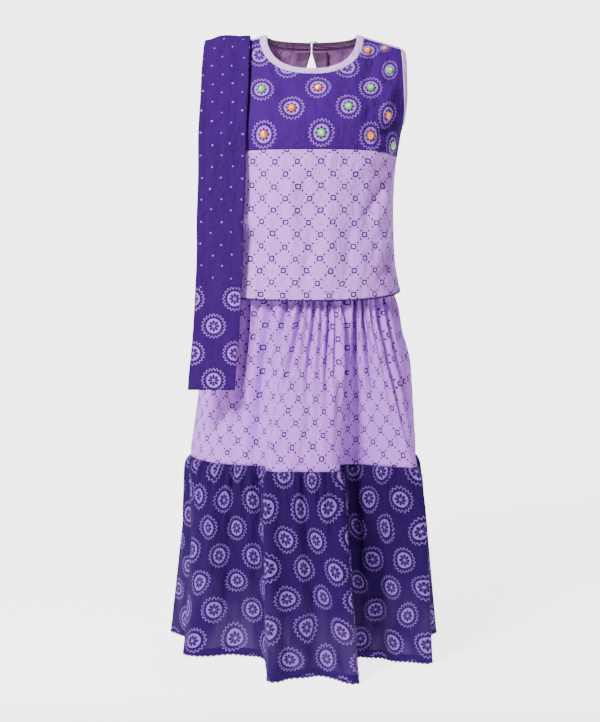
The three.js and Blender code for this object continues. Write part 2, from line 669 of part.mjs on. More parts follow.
// A closed solid through rings of points.
function tube(rings) {
  const count = rings[0].length;
  const faces = [];
  for (let j = 0; j < rings.length - 1; j += 1) {
    for (let i = 0; i < count; i += 1) {
      const a = j * count + i;
      const b = j * count + ((i + 1) % count);
      faces.push([a, b + count, a + count], [a, b, b + count]);
    }
  }
  const foot = rings.length * count;
  const last = (rings.length - 1) * count;
  const centre = (ring) => ring.reduce((sum, p) => sum.add(p), new THREE.Vector3())
    .divideScalar(count);
  for (let i = 0; i < count; i += 1) {
    const next = (i + 1) % count;
    faces.push([foot, next, i], [foot + 1, last + i, last + next]);
  }
  return geometryFrom([...rings.flat(), centre(rings[0]), centre(rings[rings.length - 1])], faces);
}

// ---------------------------------------------------------------- closure at the back neck

// A button on the left end of the neck binding, and a loop that reaches it from the right end.
const BUTTON = { radius: 4.2, height: 2.2, from_slit: 5.5 };
const LOOP = { radius: 5.4, cord: 0.7, stretch: 1.45 };
function closureSpot(x) {
  const edge = neckEdge(Math.PI);
  const normal = figureNormal('back', 0, edge.z);
  const up = new THREE.Vector3(0, -normal.z, normal.y);
  return {
    normal,
    point: edge.point.clone()
      .addScaledVector(up, SEAM + NECK_BINDING_WIDTH / 2)
      .addScaledVector(normal, BINDING_CROWN + SEAT)
      .add(new THREE.Vector3(x, 0, 0)),
  };
}

function facingOut(geometry, spot) {
  const turn = new THREE.Quaternion().setFromUnitVectors(new THREE.Vector3(0, 0, 1), spot.normal);
  geometry.applyQuaternion(turn);
  geometry.translate(spot.point.x, spot.point.y, spot.point.z);
  return geometry;
}

function button() {
  const profile = [[0, 0], [0.8, 0], [1, 0.4], [0.85, 1], [0, 0.8]].map(([r, h]) => (
    new THREE.Vector2(r * BUTTON.radius, h * BUTTON.height)
  ));
  const geometry = new THREE.LatheGeometry(profile, 12).rotateX(Math.PI / 2);
  return facingOut(geometry, closureSpot(BUTTON.from_slit));
}

function loop() {
  const geometry = new THREE.TorusGeometry(LOOP.radius, LOOP.cord, 5, 16);
  geometry.scale(LOOP.stretch, 1, 1).translate(0, 0, LOOP.cord);
  const slack = LOOP.radius * (LOOP.stretch - 1);
  return facingOut(geometry, closureSpot(BUTTON.from_slit - slack));
}

// ---------------------------------------------------------------- stones on the yoke

// Each row is one stone: its place across the front from the axis, its height and its colour.
const STONES = [
  { x: -62, z: -142.5, colour: 'orange' },
  { x: 14, z: -140.5, colour: 'green' },
  { x: 80, z: -143.5, colour: 'orange' },
  { x: -26.5, z: -106, colour: 'orange' },
  { x: 49, z: -105, colour: 'green' },
  { x: 102, z: -115.5, colour: 'orange' },
  { x: -67, z: -81, colour: 'green' },
  { x: 8.5, z: -79, colour: 'orange' },
  { x: 79, z: -78, colour: 'green' },
  { x: 105.5, z: -52.5, colour: 'green' },
  { x: 75.5, z: -25, colour: 'orange' },
  { x: 99, z: -21, colour: 'orange' },
  { x: 111, z: -155, colour: 'green' },
];
const STONE_RADIUS = 5.3;
const STONE_HEIGHT = 2.6;

const stoneProfile = [[0, 0], [1, 0], [0.8, 0.7], [0, 1]].map(([r, h]) => (
  new THREE.Vector2(r * STONE_RADIUS, h * STONE_HEIGHT)
));

// ---------------------------------------------------------------- assembly

const group = new THREE.Group();

function add(name, geometry, look) {
  const mesh = new THREE.Mesh(geometry, new THREE.MeshStandardMaterial(look));
  mesh.name = name;
  group.add(mesh);
  return mesh;
}

add('choli_yoke_front', frontYoke, PURPLE);
add('choli_body_front', frontBody, LILAC);
add('choli_back', back, LILAC);
add('back_facing_left', facingStrip(1), LILAC);
add('back_facing_right', facingStrip(-1), LILAC);
add('neck_binding', wall(neckBindingRows(), BINDING, false), PALE);
add('armhole_binding_left', wall(armholeBindingRows(1), BINDING, true), PALE);
add('armhole_binding_right', wall(armholeBindingRows(-1), BINDING, true), PALE);
add('neck_button', button(), PALE);
add('neck_loop', loop(), PALE);
add('ghagra_waistband', wall(waistbandRows(), 2.4, true), LILAC);
add('ghagra_upper_tier', wall(upperTierRows(), CLOTH, true), LILAC);
add('ghagra_lower_tier', wall(lowerTierRows(), CLOTH, true), PURPLE);

STONES.forEach((stone, i) => {
  const look = stone.colour === 'green' ? STONE_GREEN : STONE_ORANGE;
  const mesh = add(`yoke_stone_${i + 1}`, new THREE.LatheGeometry(stoneProfile, 6), look);
  const normal = figureNormal('front', stone.x, stone.z);
  mesh.position.copy(onFigure('front', stone.x, stone.z)).addScaledVector(normal, SEAT);
  mesh.quaternion.setFromUnitVectors(new THREE.Vector3(0, 1, 0), normal);
});

const route = dupattaRoute();
const stretches = {
  dupatta_front_fall: [0, CUT_FRONT],
  dupatta_shoulder: [CUT_FRONT, CUT_BACK],
  dupatta_back_fall: [CUT_BACK, route.length - 1],
};
Object.entries(stretches).forEach(([name, [from, to]]) => {
  add(name, strip(route, from, to, DUPATTA_THICKNESS), PURPLE);
});

export default group;
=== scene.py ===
import math
from functools import partialmethod

import bpy
import numpy as np
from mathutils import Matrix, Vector


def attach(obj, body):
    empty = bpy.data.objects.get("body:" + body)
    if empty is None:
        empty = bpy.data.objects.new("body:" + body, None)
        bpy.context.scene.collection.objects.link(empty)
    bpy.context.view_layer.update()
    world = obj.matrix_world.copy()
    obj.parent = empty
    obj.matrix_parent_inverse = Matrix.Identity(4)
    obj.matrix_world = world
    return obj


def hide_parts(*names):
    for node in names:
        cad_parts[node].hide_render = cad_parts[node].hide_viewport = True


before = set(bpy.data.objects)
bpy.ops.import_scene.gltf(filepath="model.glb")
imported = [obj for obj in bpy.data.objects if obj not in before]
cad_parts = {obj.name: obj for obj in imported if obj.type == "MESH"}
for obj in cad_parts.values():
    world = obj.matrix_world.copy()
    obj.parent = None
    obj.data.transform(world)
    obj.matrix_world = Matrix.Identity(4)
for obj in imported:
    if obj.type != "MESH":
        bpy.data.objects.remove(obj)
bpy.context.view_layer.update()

# A child's ghagra choli. Sizes are in millimetres until a mesh is made, in the CAD's frame:
# +Z up, the front faces -Y, the wearer's left is +X.
MM = 0.001
TURN = 2 * math.pi
rng = np.random.default_rng(7)

# ---- sizes shared with the CAD

SHELL = 0.6              # the cloth's own wall, inside the CAD wall's outer face
BINDING = 1.9
SEAM = 0.4
SEAT = 0.35

NECK_HALF_WIDTH = 71
NECK_DROP = {"front": 59, "back": 17}
NECK_ROUND = 0.87        # under 1 squares the neckline's curve off
NECK_BINDING_WIDTH = 10
SHOULDER_HALF_WIDTH = 121
SHOULDER_SLOPE = 0.29
SHOULDER_INNER = 60
UNDERARM = -131
YOKE_SEAM = {"centre": -162, "side": -172}
CHOLI_HEM = {"front": -361, "side": -347, "back": -358}
ARMHOLE_BINDING = 8
ARMHOLE_SWELL = 0.5
ARMHOLE_TURN_IN = 0.55

WAIST = -262
BAND_FOOT = -290
TIER_SEAM = -583
HEM = -846
WAIST_GATHERS = 28
FLOUNCE_GATHERS = 56

DUPATTA_THICKNESS = 7

# Height, half-width, depths of front and back, and the axis' place to the wearer's left.
FIGURE = np.array([
    (10, 150, 91, 74, 12.5),
    (-60, 150, 91, 74, 12.5),
    (-95, 143, 91, 74, 12),
    (-118, 131, 91, 74, 11.5),
    (-131, 124.5, 91, 74, 11),
    (-145, 123.5, 91, 74, 10.5),
    (-173, 119.5, 91, 72, 9.5),
    (-198, 117.5, 90, 70, 9),
    (-236, 117, 90, 70, 8),
    (-281, 119, 91, 72, 7),
    (-318, 122.5, 94, 76, 6),
    (-347, 129.5, 97, 82, 5),
    (-363, 133, 98, 84, 5),
], float)
FIGURE_COLUMNS = {"half_width": 1, "front": 2, "back": 3, "axis": 4}
SECTION_POWER = 2.4
RIDGE = {"front": (18, 25), "back": (34, 40)}      # depth of the shoulder's round, and its fall
RAMP_FALL = {"front": 140, "back": 130}

# The ghagra's crests and troughs: turn and reach at the hip, at the tier seam and at the hem.
FOLDS = np.array([
    (-8, 103, -18, 144, -12, 195),
    (8, 106, 0, 143, 6, 170),
    (24, 110, 18, 143, 20, 210),
    (38, 100, 37, 98, 39, 112),
    (52, 117, 54, 181, 56, 202),
    (74, 133, 78, 155, 82, 156),
    (98, 138, 100, 160, 104, 198),
    (121, 114, 124, 132, 126, 148),
    (141, 104, 143, 146, 145, 186),
    (161, 90, 163, 120, 165, 140),
    (182, 94, 183, 138, 184, 180),
    (202, 92, 203, 118, 203, 142),
    (221, 106, 222, 146, 222, 187),
    (240, 110, 240, 134, 239, 152),
    (260, 132, 258, 159, 256, 196),
    (280, 130, 277, 153, 274, 148),
    (301, 112, 299, 137, 295, 178),
    (318, 104, 318, 119, 312, 113),
    (335, 100, 332, 111, 332, 110),
], float)
HIP = -382
HIP_AXIS = 4
WAIST_RING = {"half_width": 97, "front": 76, "back": 66, "axis": 6}


# ---- small maths

def mix(a, b, t):
    return a + (b - a) * t


def smooth(t):
    t = np.clip(t, 0, 1)
    return t * t * (3 - 2 * t)


def unit(v):
    return v / np.maximum(np.linalg.norm(v, axis=-1, keepdims=True), 1e-9)


def around(count):
    return np.arange(count) / count * TURN


def column(name, z):
    """A column of the figure's table at height z, its corners rounded off."""
    rows = FIGURE[::-1]
    offsets = np.linspace(-9, 9, 5)
    return sum(np.interp(z + o, rows[:, 0], rows[:, FIGURE_COLUMNS[name]]) for o in offsets) / 5


def shoulder_line(x):
    return -1 - np.maximum(np.abs(x) - SHOULDER_INNER, 0) * SHOULDER_SLOPE


# ---- the figure under the choli

def depth(side, x, z):
    fall = np.maximum(shoulder_line(x) - z, 0)
    round_depth, round_fall = RIDGE[side]
    bend = np.sqrt(1 - (1 - np.minimum(fall / round_fall, 1)) ** 2)
    reach = round_depth * bend + (column(side, z) - round_depth) * smooth(fall / RAMP_FALL[side])
    share = np.minimum(np.abs(x) / column("half_width", z), 1)
    return reach * (1 - share ** SECTION_POWER) ** (1 / SECTION_POWER)


def on_figure(side, x, z):
    x, z = np.broadcast_arrays(np.asarray(x, float), np.asarray(z, float))
    sign = -1 if side == "front" else 1
    return np.stack([x + column("axis", z), sign * (SEAM / 2 + depth(side, x, z)), z], -1)


def figure_normal(side, x, z):
    inward = np.where(np.asarray(x) >= 0, -1, 1)
    here = on_figure(side, x, z)
    across = (on_figure(side, x + inward, z) - here) * inward[..., None]
    up = here - on_figure(side, x, z - 1)
    normal = unit(np.cross(across, up))
    return normal if side == "front" else -normal


def panel_edge(z):
    rise = np.clip((z - UNDERARM) / (shoulder_line(SHOULDER_HALF_WIDTH) - UNDERARM), 0, 1)
    straight = mix(column("half_width", UNDERARM), SHOULDER_HALF_WIDTH, rise)
    swell = ARMHOLE_SWELL * np.sin(math.pi * rise)
    return np.where(z <= UNDERARM, column("half_width", z), straight + swell)


def angle_share(u):
    return np.sign(u) * np.sin(np.abs(u) * math.pi / 2) ** (2 / SECTION_POWER)


NECK_SHARE = 0.5         # of the panel's columns end on the neckline, the others on the shoulder


def top_point(side, u):
    """Where a column of the panel ends: on the shoulder line or on the neckline."""
    share = np.abs(u)
    strap_x = mix(NECK_HALF_WIDTH, SHOULDER_HALF_WIDTH, (share - NECK_SHARE) / (1 - NECK_SHARE))
    turn = np.minimum(share / NECK_SHARE, 1) * math.pi / 2
    neck_x = NECK_HALF_WIDTH * np.sin(turn) ** NECK_ROUND
    start = shoulder_line(NECK_HALF_WIDTH)
    neck_z = start - (NECK_DROP[side] + start) * np.maximum(np.cos(turn), 0) ** NECK_ROUND
    on_strap = share >= NECK_SHARE
    x = np.where(on_strap, strap_x, neck_x)
    return np.sign(u) * x, np.where(on_strap, shoulder_line(strap_x), neck_z)


def hem_level(side, u):
    return mix(CHOLI_HEM[side], CHOLI_HEM["side"], np.abs(u) ** 2.2)


def yoke_level(u):
    return mix(YOKE_SEAM["centre"], YOKE_SEAM["side"], np.abs(u) ** 2.6)


def upper_point(side, u, v):
    top_x, top_z = top_point(side, u)
    z = mix(yoke_level(u), top_z, v)
    edge = panel_edge(z)
    strap = top_x * edge / panel_edge(shoulder_line(SHOULDER_HALF_WIDTH))
    return on_figure(side, mix(edge * angle_share(u), strap, smooth(v)), z)


def lower_point(side, u, v):
    z = mix(hem_level(side, u), yoke_level(u), v)
    return on_figure(side, panel_edge(z) * angle_share(u), z)


# ---- meshes of cloth

def place_object(name, data):
    made = bpy.data.objects.new(name, data)
    bpy.context.collection.objects.link(made)
    return made


def make_object(name, points, faces, uv=None, smooth_faces=True):
    """points in millimetres, uv one pair in millimetres for each corner of each face."""
    mesh = bpy.data.meshes.new(name)
    mesh.from_pydata((np.asarray(points) * MM).tolist(), [], faces)
    if uv is not None:
        layer = mesh.uv_layers.new(name="cloth")
        layer.data.foreach_set("uv", np.asarray(uv * MM, np.float32).ravel())
    mesh.polygons.foreach_set("use_smooth", np.full(len(mesh.polygons), smooth_faces))
    mesh.update()
    return place_object(name, mesh)


def quads(rows, count, closed=True):
    """Faces between rows of points, closed round each row or not."""
    j, i = np.meshgrid(np.arange(rows - 1), np.arange(count if closed else count - 1),
                       indexing="ij")
    n = (i + 1) % count
    faces = np.stack([j * count + i, j * count + n, (j + 1) * count + n, (j + 1) * count + i], -1)
    return faces.reshape(-1, 4)


def grid_normals(grid, closed):
    if closed:
        along = np.roll(grid, -1, 1) - np.roll(grid, 1, 1)
    else:
        along = np.gradient(grid, axis=1)
    normal = np.cross(along, np.gradient(grid, axis=0))
    seam = np.abs(np.abs(grid[..., 1]) - SEAM / 2) < 0.01
    normal[seam, 1] = 0
    return unit(normal)


def lengths_along(grid, axis):
    """Length of cloth from the first row or column to each point."""
    step = np.linalg.norm(np.diff(grid, axis=axis), axis=-1)
    zero = np.zeros_like(np.take(step, [0], axis))
    return np.concatenate([zero, np.cumsum(step, axis)], axis)


def lengths_uv(grid):
    return np.stack([lengths_along(grid, 1), lengths_along(grid, 0)], -1)


def ring_uv(grid, flat_width):
    """For a closed grid: even places across the flat width, and the rows' mean heights."""
    count = grid.shape[1]
    across = np.broadcast_to(np.arange(count + 1) / count * flat_width, (len(grid), count + 1))
    heights = lengths_along(grid, 0).mean(1)
    return np.stack([across, np.broadcast_to(heights[:, None], across.shape)], -1)


def cloth_object(name, grid, uv, thickness, closed):
    """A closed wall on an outer grid of rows. uv has a column more than a closed grid."""
    rows, count = grid.shape[:2]
    normal = grid_normals(grid, closed)
    points = np.concatenate([grid.reshape(-1, 3), (grid - normal * thickness).reshape(-1, 3)])
    back = rows * count
    outer = quads(rows, count, closed)
    j, i = np.meshgrid(np.arange(rows - 1), np.arange(count if closed else count - 1),
                       indexing="ij")
    pair = np.stack([uv[j, i], uv[j, i + 1], uv[j + 1, i + 1], uv[j + 1, i]], -2).reshape(-1, 4, 2)
    faces = [outer, outer[:, ::-1] + back]
    pairs = [pair, pair[:, ::-1]]

    def rim(a, b, uv_a, uv_b):
        faces.append(np.stack([b, a, a + back, b + back], -1))
        pairs.append(np.stack([uv_b, uv_a, uv_a, uv_b], -2))

    i = i[0]
    n = (i + 1) % count
    last = (rows - 1) * count
    rim(i, n, uv[0, i], uv[0, i + 1])
    rim(last + n, last + i, uv[-1, i + 1], uv[-1, i])
    if not closed:
        j = j[:, 0]
        rim((j + 1) * count, j * count, uv[j + 1, 0], uv[j, 0])
        right = count - 1
        rim(j * count + right, (j + 1) * count + right, uv[j, -1], uv[j + 1, -1])
    return make_object(name, points, np.concatenate(faces).tolist(), np.concatenate(pairs))


def finish_piece(piece, material, slot, *nodes):
    piece.data.materials.append(material)
    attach(piece, "root")
    if nodes:
        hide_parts(*nodes)
    return piece


# ---- materials

def new_material(name, colour, roughness, sheen=0.25, specular=0.25):
    material = bpy.data.materials.new(name)
    material.use_nodes = True
    shader = material.node_tree.nodes["Principled BSDF"]
    shader.inputs["Base Color"].default_value = (*colour, 1)
    shader.inputs["Roughness"].default_value = roughness
    shader.inputs["Sheen Weight"].default_value = sheen
    shader.inputs["Sheen Roughness"].default_value = 0.5
    shader.inputs["Specular IOR Level"].default_value = specular
    return material, shader


class Graph:
    """Builds a material's nodes as sums: each method adds a node and returns its output."""

    def __init__(self, material):
        self.tree = material.node_tree

    def put(self, socket, value):
        if isinstance(value, bpy.types.NodeSocket):
            self.tree.links.new(value, socket)
        else:
            socket.default_value = value

    def node(self, kind, inputs=(), **settings):
        made = self.tree.nodes.new(kind)
        for key, value in settings.items():
            setattr(made, key, value)
        for at, value in enumerate(inputs):
            self.put(made.inputs[at], value)
        return made

    def math(self, operation, *inputs):
        return self.node("ShaderNodeMath", inputs, operation=operation).outputs[0]

    add = partialmethod(math, "ADD")
    sub = partialmethod(math, "SUBTRACT")
    mul = partialmethod(math, "MULTIPLY")
    mad = partialmethod(math, "MULTIPLY_ADD")
    pow = partialmethod(math, "POWER")
    abs = partialmethod(math, "ABSOLUTE")
    max = partialmethod(math, "MAXIMUM")
    min = partialmethod(math, "MINIMUM")
    sin = partialmethod(math, "SINE")
    cos = partialmethod(math, "COSINE")
    more = partialmethod(math, "GREATER_THAN")
    less = partialmethod(math, "LESS_THAN")

    def clamp(self, a):
        return self.node("ShaderNodeClamp", (a,)).outputs[0]

    def vector(self, operation, *inputs):
        made = self.node("ShaderNodeVectorMath", inputs, operation=operation)
        return made.outputs[1 if operation == "LENGTH" else 0]

    def scaled(self, place, factor):
        made = self.node("ShaderNodeVectorMath", (place,), operation="SCALE")
        made.inputs["Scale"].default_value = factor
        return made.outputs[0]

    def parts(self, place):
        return self.node("ShaderNodeSeparateXYZ", (place,)).outputs

    def cloth(self, layer="cloth"):
        """The place on the cloth, or the offset from a flower, in millimetres."""
        return self.scaled(self.node("ShaderNodeUVMap", uv_map=layer).outputs[0], 1 / MM)

    def noise(self, place, size, detail=2.0, output=0):
        made = self.node("ShaderNodeTexNoise", (place,))
        made.inputs["Scale"].default_value = 1 / size
        made.inputs["Detail"].default_value = detail
        return made.outputs[output]

    def stretched(self, place, x, y):
        return self.vector("MULTIPLY", place, (x, y, 1))

    def ragged(self, place, size, amount):
        """The place moved a little at random, as a hand block prints."""
        moves = self.noise(place, size, 1.0, "Color")
        return self.vector("ADD", place, self.scaled(
            self.vector("SUBTRACT", moves, (0.5, 0.5, 0.5)), amount))

    def band(self, distance, half_width, soft=0.35):
        """1 where distance is under half_width, 0 beyond it, with a soft edge."""
        return self.clamp(self.mad(self.sub(half_width, distance), 1 / soft, 0.5))

    def choose(self, kind, share, a, b):
        """A mix of two colours or vectors, found by the sockets' own names."""
        made = self.node("ShaderNodeMix", data_type={"Color": "RGBA", "Vector": "VECTOR"}[kind])
        for name, value in (("Factor_Float", share), ("A_" + kind, a), ("B_" + kind, b)):
            socket = next(s for s in made.inputs if s.identifier == name)
            self.put(socket, (*value, 1) if isinstance(value, tuple) else value)
        return next(s for s in made.outputs if s.identifier == "Result_" + kind)

    def lattice(self, place, pitch_x, pitch_y, origin=(0, 0)):
        """The offset from the nearest motif of a staggered repeat, in millimetres."""
        offsets = []
        for shift in (0.0, 0.5):
            start = (-origin[0] - shift * pitch_x, -origin[1] - shift * pitch_y, 0)
            moved = self.vector("ADD", place, start)
            cells = self.vector("MULTIPLY", moved, (1 / pitch_x, 1 / pitch_y, 0))
            whole = self.vector("FLOOR", self.vector("ADD", cells, (0.5, 0.5, 0)))
            part = self.vector("SUBTRACT", cells, whole)
            offsets.append(self.vector("MULTIPLY", part, (pitch_x, pitch_y, 0)))
        near = self.less(*[self.vector("LENGTH", o) for o in offsets])
        return self.choose("Vector", near, offsets[1], offsets[0])

    def colour(self, shader, value):
        self.tree.links.new(value, shader.inputs["Base Color"])


SUNBURST = {"ring": 14.6, "tooth": 1.6, "teeth": 20, "line": 0.62, "disc": 9.8, "star": 6.6,
            "petal": 1.1, "petals": 8, "eye": 1.9, "vein": 1.36, "veins_from": 2.8,
            "vein_strength": 0.6, "soft": 0.5}


def sunburst(graph, offset):
    """A toothed ring round a disc that holds a dark eight-petalled flower with a light eye."""
    size, soft = SUNBURST, SUNBURST["soft"]
    x, y, _ = graph.parts(offset)
    radius = graph.vector("LENGTH", offset)
    angle = graph.math("ARCTAN2", y, x)
    turn = graph.mul(angle, size["teeth"] / TURN)
    wave = graph.abs(graph.sub(graph.math("FRACT", turn), 0.5))
    zigzag = graph.mad(wave, 4 * size["tooth"], size["ring"] - size["tooth"])
    teeth = graph.band(graph.abs(graph.sub(radius, zigzag)), size["line"], soft)
    petals = graph.cos(graph.mul(angle, size["petals"]))
    flower_edge = graph.mad(petals, size["petal"], size["star"])
    flower = graph.band(graph.sub(radius, flower_edge), 0.0, soft)
    disc = graph.sub(graph.band(radius, size["disc"], soft), flower)
    eye = graph.band(radius, size["eye"], soft)
    spread = graph.mul(graph.cos(graph.mul(angle, size["petals"] / 2)), radius)
    veins = graph.band(graph.abs(spread), size["vein"], 0.8)
    veins = graph.mul(veins, graph.more(radius, size["veins_from"]))
    veins = graph.mul(veins, graph.band(radius, size["disc"], soft))
    marks = graph.max(graph.max(teeth, disc), eye)
    return graph.max(marks, graph.mul(veins, size["vein_strength"]))


THREAD_PITCH = 0.62
BUMP = {"weave": 0.05, "slub": 0.4, "rough": 1.8, "soft": 8.0, "print": 0.1,
        "strength": 0.9, "distance": 0.0009}


def cloth_bump(graph, shader, place, relief=None):
    """A plain weave with slubs, soft unevenness and the slight relief of a print."""
    warp, weft, _ = graph.parts(graph.stretched(place, TURN / THREAD_PITCH, TURN / THREAD_PITCH))
    weave = graph.mul(graph.sin(warp), graph.sin(weft))
    slub = graph.noise(graph.stretched(place, 0.12, 1.1), 1.3, 3)
    rough = graph.noise(place, 7, 3)
    soft = graph.noise(graph.stretched(place, 1.0, 0.5), 20, 2)
    height = graph.mad(weave, BUMP["weave"], graph.mul(slub, BUMP["slub"]))
    height = graph.mad(rough, BUMP["rough"], height)
    height = graph.mad(soft, BUMP["soft"], height)
    if relief is not None:
        height = graph.mad(relief, BUMP["print"], height)
    bump = graph.node("ShaderNodeBump")
    bump.inputs["Strength"].default_value = BUMP["strength"]
    bump.inputs["Distance"].default_value = BUMP["distance"]
    graph.tree.links.new(height, bump.inputs["Height"])
    graph.tree.links.new(bump.outputs[0], shader.inputs["Normal"])
    return slub, rough


def tinted(graph, colour, slub, rough, amount):
    """The cloth's colour, uneven by thread and by patch."""
    dark = tuple(c * (1 - amount) for c in colour)
    light = tuple(min(c * (1 + amount), 1) for c in colour)
    share = graph.mad(slub, 0.6, graph.mul(rough, 0.4))
    return graph.choose("Color", share, dark, light)


def worn_print(graph, place, motif, size, gain, least):
    """A print's share, thinner where the block carried less dye."""
    worn = graph.mad(graph.noise(place, size, 2), gain, least)
    return graph.min(graph.mul(motif, worn), 1.0)


# Linear colours.
PURPLE = (0.044, 0.0060, 0.140)
DUPATTA_PURPLE = (0.033, 0.0045, 0.103)
# The yoke's purple print, made darker on the flounce for the light that falls off there: painted
# shade.
SHADED_FLOUNCE_PURPLE = (0.0145, 0.0018, 0.057)
LAVENDER = (0.34, 0.17, 0.62)
# The print's lavender, made darker on the flounce: painted shade.
SHADED_FLOUNCE_LAVENDER = (0.19, 0.095, 0.38)
LILAC = (0.53, 0.220, 0.80)
# The choli's lilac cloth, made darker on the skirt's upper tier for the light that falls off there:
# painted shade.
SHADED_TIER_LILAC = (0.465, 0.168, 0.75)
# The cloth's reverse for the choli's inside: its faint print is the cloth's own, and its darker
# mauve ground is partly painted shade.
LILAC_REVERSE_SHADED = (0.36, 0.145, 0.40)
# Painted shade: the dark mauve given to the back facings and the neck binding's inside for the shade
# they lie in.
FACING_SHADE = (0.19, 0.085, 0.20)
PRINT_DARK = (0.040, 0.003, 0.10)
BINDING_PALE = (0.64, 0.43, 0.85)
# Painted light: the paler colour put where light behind would show through the flounce's single
# cloth.
PAINTED_BACKLIGHT = (0.048, 0.024, 0.095)
# Dark thread of the scalloped hem edgings; at the choli's hem its dark line also stands in for the
# shadow under the hem: partly painted shadow.
EDGING_AND_SHADOW = (0.042, 0.010, 0.100)
THREADS = {"pale": (0.50, 0.33, 0.70), "dark": (0.020, 0.003, 0.065), "lilac": (0.36, 0.17, 0.55)}
# Each stone's sides, and the paler tint of its top facets (the table), which is a painted glint.
STONE_COLOURS = {"green": ((0.12, 0.56, 0.09), (0.50, 0.86, 0.42)),       # sides and table
                 "orange": ((0.86, 0.19, 0.008), (0.95, 0.55, 0.20))}
BUTTON_COLOUR = (0.40, 0.25, 0.50)

DOTS = {"origin": (4.0, 3.0), "pitch": (27.0, 29.3), "radius": 1.15}
HEM_TURN = 10.0          # the hem's turned-up band, twice as thick
# How far over the hem the painted light through the cloth reaches.
PAINTED_BACKLIGHT_REACH = 120.0


def painted_backlight_share(graph, place, height):
    """Where light behind would show through the single cloth above the turned hem: the share of a
    paler colour, in patches, that is painted light.
    """
    above_hem = graph.band(graph.sub(HEM_TURN, height), 0.0, 0.8)
    fall = graph.clamp(graph.mad(height, -1 / PAINTED_BACKLIGHT_REACH, 1.0))
    patches = graph.noise(graph.stretched(place, 1.0, 0.35), 26, 1)
    patches = graph.clamp(graph.mad(patches, 3.2, -1.15))
    return graph.mul(graph.mul(above_hem, fall), patches)


def purple_material(name, repeat=None, origin=(0, 0), scale=(1, 1), dots=None, painted_backlight=False,
                    cloth=PURPLE, ink=LAVENDER, wander=0.0):
    """repeat is the flowers' staggered pitch, or None where a layer of the mesh places them.
    dots is the stretch, up the cloth, that has dots in place of flowers."""
    material, shader = new_material(name, cloth, 0.9, 0.0, 0.08)
    graph = Graph(material)
    place = graph.cloth()
    rough_place = graph.ragged(graph.ragged(place, 70, wander), 1.6, 0.8)
    if repeat is None:
        motif = sunburst(graph, graph.ragged(graph.cloth("print"), 1.6, 0.8))
    else:
        offset = graph.lattice(rough_place, *repeat, origin)
        motif = sunburst(graph, graph.vector("DIVIDE", offset, (*scale, 1)))
    height = graph.parts(place)[1]
    if dots is not None:
        from_dot = graph.lattice(graph.ragged(rough_place, 23, 9.0), *DOTS["pitch"],
                                 DOTS["origin"])
        dot = graph.band(graph.vector("LENGTH", from_dot), DOTS["radius"], 0.5)
        plain = graph.mul(graph.more(height, dots[0]), graph.less(height, dots[1]))
        motif = graph.max(graph.mul(dot, plain), graph.mul(motif, graph.sub(1.0, plain)))
    slub, rough = cloth_bump(graph, shader, place, motif)
    ground = tinted(graph, cloth, slub, rough, 0.35)
    # Painted light through the single cloth near the hem, mixed into the ground.
    if painted_backlight:
        ground = graph.choose("Color", painted_backlight_share(graph, place, height), ground, PAINTED_BACKLIGHT)
    share = worn_print(graph, place, motif, 1.1, 0.8, 0.5)
    graph.colour(shader, graph.choose("Color", share, ground, ink))
    return material


SQUARES = {"pitch": (31.4, 32.0), "half": 2.8, "line": 0.85, "dot_at": 5.4, "dot": 1.25,
           "corners": 5.0, "soft": 0.4}


def lilac_material(name, cloth=LILAC, strength=1.0):
    """Rounded squares with a dot off each corner, in dark ink."""
    material, shader = new_material(name, cloth, 0.85, 0.05, 0.15)
    graph = Graph(material)
    place = graph.cloth()
    rough_place = graph.ragged(graph.ragged(place, 45, 9.0), 1.3, 0.9)
    x, y, _ = graph.parts(graph.lattice(rough_place, *SQUARES["pitch"]))
    x, y = graph.abs(x), graph.abs(y)
    power = SQUARES["corners"]
    rounded_square = graph.pow(graph.add(graph.pow(x, power), graph.pow(y, power)), 1 / power)
    outline = graph.abs(graph.sub(rounded_square, SQUARES["half"]))
    squares = graph.band(outline, SQUARES["line"], SQUARES["soft"])
    dx, dy = graph.sub(x, SQUARES["dot_at"]), graph.sub(y, SQUARES["dot_at"])
    away = graph.math("SQRT", graph.add(graph.mul(dx, dx), graph.mul(dy, dy)))
    motif = graph.max(squares, graph.band(away, SQUARES["dot"], SQUARES["soft"]))
    slub, rough = cloth_bump(graph, shader, place, motif)
    share = graph.mul(worn_print(graph, place, motif, 1.2, 0.9, 0.6), strength)
    ground = tinted(graph, cloth, slub, rough, 0.26)
    graph.colour(shader, graph.choose("Color", share, ground, PRINT_DARK))
    return material


def plain_material(name, cloth, roughness=0.8, amount=0.1):
    material, shader = new_material(name, cloth, roughness, 0.05, 0.15)
    graph = Graph(material)
    slub, rough = cloth_bump(graph, shader, graph.cloth())
    graph.colour(shader, tinted(graph, cloth, slub, rough, amount))
    return material


# ---- creases of the choli

